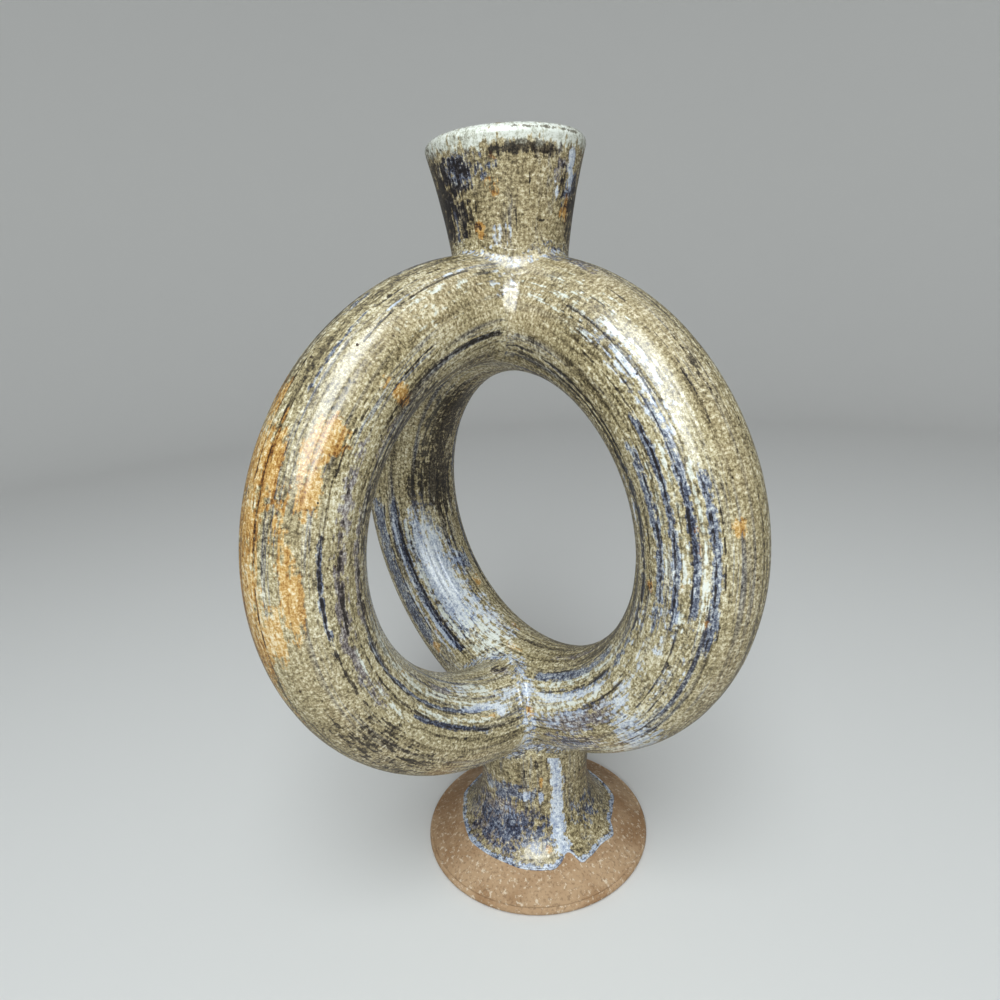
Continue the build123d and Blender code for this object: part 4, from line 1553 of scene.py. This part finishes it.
# Painted shade: the inside of a bore is darkened towards this colour.
w.put(result["Color"], tint(w, colour, PAINTED_SHADE_IN_BORES, w.math("MULTIPLY", given["Inside"], 0.85)))
rough_value = w.math("ADD", 0.20, w.math("MULTIPLY", value, 0.10))
rough_value = w.math("SUBTRACT", rough_value, w.math("MULTIPLY", worn["milk"], 0.06))
w.put(result["Roughness"], w.math("ADD", rough_value, w.math("MULTIPLY", given["Inside"], 0.25)))
relief = w.math("ADD", w.math("MULTIPLY", value, 0.8), w.math("MULTIPLY", given["Grain"], 0.5))
w.put(result["Height"], relief)
print("ash glaze colours group:", len(colour_group.nodes), "nodes")

# %% [markdown]
# ## Bare clay
#
# The flange is buff stoneware with sand and pale grog in it. Three noises make it: clouds of a darker and
# a lighter buff, dark sand, and light grains.

# %% The clay group
clay_group, w, given, result = new_tree(
    "bare clay", "ShaderNodeTree", [("Vector", "Vector")],
    [("Color", "Color"), ("Roughness", "Float"), ("Height", "Float")])
grog = w.add("ShaderNodeTexNoise", {
    "Vector": given["Vector"], "Scale": 560.0, "Detail": 3.0, "Roughness": 0.7}).outputs[0]
chosen = w.step(grog, 0.56, 0.66)
cloud = w.add("ShaderNodeTexNoise", {"Vector": given["Vector"], "Scale": 70.0, "Detail": 3.0}).outputs[0]
sand = w.add("ShaderNodeTexNoise", {"Vector": given["Vector"], "Scale": 900.0, "Detail": 3.0}).outputs[0]
clay = tint(w, (0.33, 0.190, 0.092, 1), (0.46, 0.302, 0.172, 1), w.step(cloud, 0.36, 0.64))
clay = tint(w, clay, (0.21, 0.125, 0.065, 1), w.math("MULTIPLY", w.step(sand, 0.50, 0.68), 0.6))
clay = tint(w, clay, (0.80, 0.68, 0.52, 1), w.math("MULTIPLY", chosen, 0.62))
w.put(result["Color"], clay)
w.put(result["Roughness"], w.math("ADD", 0.72, w.math("MULTIPLY", sand, 0.2)))
w.put(result["Height"], w.math("ADD", w.math("MULTIPLY", sand, 0.6), w.math("MULTIPLY", chosen, 0.5)))
print("bare clay group:", len(clay_group.nodes), "nodes")

# %% [markdown]
# ## One recipe for every glazed piece
#
# All parts had one glaze, but it lies thicker here and thinner there. One function builds the material,
# and each piece gives its own island size, cover and relief. The shine is a clear coat that fades out
# where the clay is bare.

# %% Putting the groups into a material
def attribute(w, name, output="Fac"):
    """An attribute of the mesh, in a material."""
    return w.add("ShaderNodeAttribute", attribute_name=name, attribute_type="GEOMETRY").outputs[output]


def group(w, tree, **inputs):
    """One of the groups, with its inputs filled in, and its outputs."""
    node = w.add("ShaderNodeGroup", node_tree=tree)
    for name, value in inputs.items():
        w.put(node.inputs[name.replace("_", " ")], value)
    return node.outputs


COAT = 0.7


def glaze_material(name, island_size, cover, bump, with_clay=False):
    """Ash glaze on a thrown piece, and bare clay where the mask says so."""
    material = bpy.data.materials.new(name)
    material.use_nodes = True
    material.node_tree.nodes.clear()
    w = Writer(material.node_tree)
    place = w.add("ShaderNodeTexCoord").outputs["Object"]
    section, travel = attribute(w, "section", "Vector"), attribute(w, "travel", "Vector")
    calm = attribute(w, "calm")
    parting = group(
        w, island_group, Vector=place, Section=section, Travel=travel, Island_Size=island_size, Runs=calm)
    streaks = group(w, streak_group, Section=section, Travel=travel, Calm=calm)
    masks = {kind.capitalize(): attribute(w, kind) for kind in PAINTED}
    glaze = group(
        w, colour_group, Islands=parting["Islands"], Blots=parting["Blots"], Grain=parting["Grain"],
        Tone=parting["Tone"], Lines=streaks["Lines"], Threads=streaks["Threads"], Washes=streaks["Washes"],
        Streaks=streaks["Streaks"], Cover=cover, Calm=calm, **masks)
    colour, rough_value, height, coat = glaze["Color"], glaze["Roughness"], glaze["Height"], COAT
    shader = w.add("ShaderNodeBsdfPrincipled")
    if with_clay:
        clay = group(w, clay_group, Vector=place)
        bare = w.step(attribute(w, "bare"), 0.35, 0.65)
        colour = tint(w, colour, clay["Color"], bare)
        rough_value = blend(w, rough_value, clay["Roughness"], bare)
        height = blend(w, height, clay["Height"], bare)
        coat = w.math("SUBTRACT", COAT, w.math("MULTIPLY", bare, COAT))
    bumped = w.add("ShaderNodeBump", {"Strength": 0.8, "Distance": bump, "Height": height})
    w.put(shader.inputs["Base Color"], colour)
    w.put(shader.inputs["Roughness"], rough_value)
    w.put(shader.inputs["Normal"], bumped.outputs[0])
    shader.inputs["IOR"].default_value = 1.52
    w.put(shader.inputs["Coat Weight"], coat)
    shader.inputs["Coat Roughness"].default_value = 0.21
    shader.inputs["Coat IOR"].default_value = 1.55
    output = w.add("ShaderNodeOutputMaterial")
    w.put(output.inputs["Surface"], shader.outputs[0])
    return material


tube_glaze = glaze_material("ash_glaze_on_donuts", island_size=1.02 * MM, cover=0.65, bump=0.08 * MM)
neck_glaze = glaze_material("ash_glaze_on_neck", island_size=1.12 * MM, cover=0.59, bump=0.10 * MM)
foot_glaze = glaze_material(
    "ash_glaze_and_clay_on_foot", island_size=1.30 * MM, cover=0.58, bump=0.09 * MM, with_clay=True)
coil_glaze = glaze_material("ash_glaze_on_coils", island_size=1.02 * MM, cover=0.65, bump=0.08 * MM)
print("materials:", [m.name for m in bpy.data.materials])

# %% [markdown]
# ## The rolled edge of the glaze
#
# Thick glaze ends in a rounded edge, with a fatter bead at each drip. A fourth geometry tree sweeps a
# small circle along the glaze line, and lets it swell where the line reaches far out.

# %% The rolled edge
edge_tree, w, given, result = new_tree(
    "rolled edge", "GeometryNodeTree",
    [("Geometry", "Geometry"), ("Bead Radius", "Float"), ("Swell", "Float"), ("Material", "Material")],
    [("Geometry", "Geometry")])
curve = w.add("GeometryNodeMeshToCurve", {"Mesh": given["Geometry"]})
place = w.add("GeometryNodeInputPosition").outputs[0]
spot = w.parts(place)
squares = w.math("ADD", w.math("MULTIPLY", spot["X"], spot["X"]), w.math("MULTIPLY", spot["Y"], spot["Y"]))
far = w.math("SQRT", squares)
beads = w.add("ShaderNodeTexNoise", {"Vector": place, "Scale": 220.0}).outputs[0]
size = w.math("ADD", w.step(far, 36 * MM, 39 * MM, 0.75, given["Swell"]), w.math("SUBTRACT", beads, 0.5))
sized = w.add("GeometryNodeSetCurveRadius", {"Curve": curve.outputs[0], "Radius": size})
ring_shape = w.add("GeometryNodeCurvePrimitiveCircle", {"Resolution": 12, "Radius": given["Bead Radius"]})
swept = w.add("GeometryNodeCurveToMesh", {
    "Curve": sized.outputs[0], "Profile Curve": ring_shape.outputs[0], "Scale": size})
real = w.add("GeometryNodeRealizeInstances", {"Geometry": swept.outputs[0]})
coated = w.add("GeometryNodeSetMaterial", {"Geometry": real.outputs[0], "Material": given["Material"]})
w.put(result["Geometry"], coated.outputs[0])

edge_angles = np.linspace(-180, 180, 541)[:-1]
edge_radii = glaze_line(edge_angles) - 0.35 * MM
turned = np.radians(edge_angles)
edge_points = np.stack([
    edge_radii * np.cos(turned), edge_radii * np.sin(turned), foot_height(edge_radii) - 0.25 * MM], -1)
glaze_edge = bpy.data.objects.new("glaze_edge", bpy.data.meshes.new("glaze_edge"))
glaze_edge.data.from_pydata(
    [tuple(p) for p in edge_points], [(i, (i + 1) % len(edge_points)) for i in range(len(edge_points))], [])
scene.collection.objects.link(glaze_edge)
grow(glaze_edge, edge_tree, **{"Bead Radius": 0.52 * MM, "Swell": 1.2, "Material": coil_glaze})
p = places(glaze_edge.data)
masks = keep_turned_marks(glaze_edge, p, foot_marks)
masks["milk"], masks["cobalt"] = np.full(len(p), 0.42), np.full(len(p), 0.8)
keep_masks(glaze_edge, masks, np.zeros(len(p)))
work = bmesh.new()
work.from_mesh(glaze_edge.data)
bmesh.ops.recalc_face_normals(work, faces=work.faces)
work.to_mesh(glaze_edge.data)
work.free()
glaze_edge.data.shade_smooth()
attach(glaze_edge, "root")
print("glaze edge faces:", len(glaze_edge.data.polygons))

# %% [markdown]
# ## Iron specks
#
# Grains of iron in the clay melt through the glaze as tiny dark blisters. A fifth tree scatters them over
# the finished skins with a fixed seed, sets a flattened ball on each place, and turns it to lie on the
# skin.

# %% The speck tree
speck_tree, w, given, result = new_tree(
    "iron specks", "GeometryNodeTree",
    [("Geometry", "Geometry"), ("Density", "Float"), ("Largest", "Float"), ("Seed", "Int"),
     ("Material", "Material")],
    [("Geometry", "Geometry")])
on_skin = w.math("GREATER_THAN", named(w, "skin", "FLOAT"), 0.9)
glazed_only = w.math("MULTIPLY", on_skin, w.math("LESS_THAN", named(w, "bare", "FLOAT"), 0.1))
spread = w.add("GeometryNodeDistributePointsOnFaces", {
    "Mesh": given["Geometry"], "Selection": glazed_only, "Density": given["Density"],
    "Seed": given["Seed"]})
ball = w.add("GeometryNodeMeshIcoSphere", {"Radius": 1.0, "Subdivisions": 1})
roll_of_dice = w.add("FunctionNodeRandomValue", {"Seed": given["Seed"]}, data_type="FLOAT")
w.put(roll_of_dice.inputs[2], 0.35)
w.put(roll_of_dice.inputs[3], 1.0)
across = w.math("MULTIPLY", w.math("POWER", roll_of_dice.outputs[1], 2.0), given["Largest"])
flat_ball = w.join(across, w.math("MULTIPLY", across, 1.25), w.math("MULTIPLY", across, 0.35))
set_down = w.add("GeometryNodeInstanceOnPoints", {
    "Points": spread.outputs["Points"], "Instance": ball.outputs["Mesh"],
    "Rotation": spread.outputs["Rotation"], "Scale": flat_ball})
real = w.add("GeometryNodeRealizeInstances", {"Geometry": set_down.outputs[0]})
coated = w.add("GeometryNodeSetMaterial", {"Geometry": real.outputs[0], "Material": given["Material"]})
w.put(result["Geometry"], coated.outputs[0])

speck_group, w, given, result = new_tree(
    "iron speck colours", "ShaderNodeTree",
    [("Vector", "Vector")], [("Color", "Color"), ("Height", "Float")])
cloud = w.add("ShaderNodeTexNoise", {"Vector": given["Vector"], "Scale": 900.0, "Detail": 2.0}).outputs[0]
w.put(result["Color"], ramp(
    w, cloud, (0.3, (0.016, 0.010, 0.006)), (0.5, (0.060, 0.036, 0.018)), (0.7, (0.17, 0.10, 0.045))))
w.put(result["Height"], cloud)
iron_speck = bpy.data.materials.new("iron_specks")
iron_speck.use_nodes = True
iron_speck.node_tree.nodes.clear()
w = Writer(iron_speck.node_tree)
speck = group(w, speck_group, Vector=w.add("ShaderNodeTexCoord").outputs["Object"])
shader = w.add("ShaderNodeBsdfPrincipled", {"Base Color": speck["Color"], "Roughness": 0.22})
bumped = w.add("ShaderNodeBump", {"Strength": 0.5, "Distance": 0.05 * MM, "Height": speck["Height"]})
w.put(shader.inputs["Normal"], bumped.outputs[0])
w.put(w.add("ShaderNodeOutputMaterial").inputs["Surface"], shader.outputs[0])
print("iron specks tree:", len(speck_tree.nodes), "nodes")

# %% [markdown]
# ## Finishing the pieces
#
# Every piece gets its throwing lines and its glaze, and the solids that it stands for are hidden. The
# lines are deepest on the donuts and faintest on the coils, which were smoothed by hand.

# %% Cutting the lines and coating the pieces
def finish_piece(piece, material, nodes, line_depth, lump, groove, thickness=0.0):
    """Cuts the throwing lines, coats the piece, and hides the nodes that it stands for."""
    piece.data.materials.clear()
    grow(piece, line_tree, **{
        "Line Depth": line_depth, "Lump Height": lump, "Groove Depth": groove, "Glaze Thickness": thickness,
        "Material": material})
    piece.data.shade_smooth()
    piece.data.set_sharp_from_angle(angle=math.radians(55))
    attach(piece, "root")
    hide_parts(*nodes)
    triangles = sum(len(face.vertices) - 2 for face in piece.data.polygons)
    print(piece.name, "triangles", triangles, "material", piece.data.materials[0].name)


finish_piece(
    ring, tube_glaze, RING_NODES,
    line_depth=0.22 * MM, lump=0.12 * MM, groove=0.16 * MM)
finish_piece(
    half_ring, tube_glaze, HALF_NODES,
    line_depth=0.20 * MM, lump=0.12 * MM, groove=0.16 * MM)
finish_piece(
    neck, neck_glaze, ["neck"],
    line_depth=0.12 * MM, lump=0.20 * MM, groove=0.12 * MM)
finish_piece(
    foot, foot_glaze, ["foot"],
    line_depth=0.14 * MM, lump=0.20 * MM, groove=0.10 * MM, thickness=0.45 * MM)
for piece in coils:
    finish_piece(
        piece, coil_glaze, [piece.name.removesuffix("_glazed")],
        line_depth=0.10 * MM, lump=0.15 * MM, groove=0.10 * MM)

# %% [markdown]
# ## Specks on each part
#
# The iron is in the clay itself, so every thrown part has specks, about one on four square centimetres.

# %% Scattering the specks
LARGEST_SPECK = 0.55 * MM
SPECK_SOURCES = ((ring, 2600.0, 21), (half_ring, 2600.0, 22), (neck, 3000.0, 23), (foot, 2600.0, 24))
for source, density, seed in SPECK_SOURCES:
    specks = bpy.data.objects.new(source.name.replace("glazed", "specks"), source.data.copy())
    scene.collection.objects.link(specks)
    grow(specks, speck_tree, **{
        "Density": density, "Largest": LARGEST_SPECK, "Seed": seed, "Material": iron_speck})
    specks.data.shade_smooth()
    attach(specks, "root")
    print(specks.name, "faces", len(specks.data.polygons))

# %% [markdown]
# ## Light and floor
#
# A broad window above and behind the camera leaves long soft highlights on both arms. One broad
# rectangular lamp stands in its place, a dim even sky fills the shadows, and the floor curves up into a
# pale wall all round, so that every side of the vase has the same plain background.

# %% Lamp, sky, floor and wall
lamp_direction = Vector((0.46, -0.50, 0.66)).normalized()
lamp_distance, lamp_width, lamp_length, lamp_brightness = 1.1, 0.60, 1.15, 7.0
lamp = bpy.data.objects.new("softbox", bpy.data.lights.new("softbox", "AREA"))
scene.collection.objects.link(lamp)
lamp.data.shape = "RECTANGLE"
lamp.data.color = (0.90, 0.97, 1.0)
lamp.data.size, lamp.data.size_y = lamp_width, lamp_length
lamp.data.energy = lamp_brightness * math.pi * lamp_width * lamp_length
vase_middle = Vector((0, 0, 0.16))
lamp.matrix_world = Matrix.Translation(vase_middle + lamp_direction * lamp_distance) @ (
    lamp_direction.to_track_quat("Z", "Y").to_matrix().to_4x4())

world = bpy.data.worlds.new("sky")
scene.world = world
world.use_nodes = True
world.node_tree.nodes["Background"].inputs["Color"].default_value = (0.93, 0.96, 1.0, 1)
world.node_tree.nodes["Background"].inputs["Strength"].default_value = 0.24

flat_radius, bend, wall_top, sides = 1.1, 0.5, 1.3, 96
bowl = [(0.6, 0.0), (flat_radius, 0.0)]
for a in np.linspace(0.1, math.pi / 2, 12):
    bowl.append((flat_radius + bend * math.sin(a), bend - bend * math.cos(a)))
bowl.append((flat_radius + bend, wall_top))
angles = [2 * math.pi * j / sides for j in range(sides)]
points = [(r * math.cos(angle), r * math.sin(angle), z) for r, z in bowl for angle in angles]
points.append((0, 0, 0))
faces = []
for i in range(len(bowl) - 1):
    for j in range(sides):
        a, b = i * sides + j, i * sides + (j + 1) % sides
        faces.append((a, b, b + sides, a + sides))
faces = [face[::-1] for face in faces] + [(len(points) - 1, j, (j + 1) % sides) for j in range(sides)]
floor = new_piece("floor", points, faces)
floor.data.shade_smooth()
paper = bpy.data.materials.new("pale_paper")
paper.use_nodes = True
paper_shader = paper.node_tree.nodes["Principled BSDF"]
w = Writer(paper.node_tree)
# Painted reflection: glossy rays see the paper dark brown-grey, so the vase reflects dark surroundings,
# while the camera sees it pale.
in_reflections = w.add("ShaderNodeLightPath").outputs["Is Glossy Ray"]
paper_colour = tint(w, (0.74, 0.73, 0.71, 1), (0.20, 0.185, 0.17, 1), in_reflections)
w.put(paper_shader.inputs["Base Color"], paper_colour)
paper_shader.inputs["Roughness"].default_value = 0.9
floor.data.materials.append(paper)
print("lamp power in watts:", round(lamp.data.energy, 1))
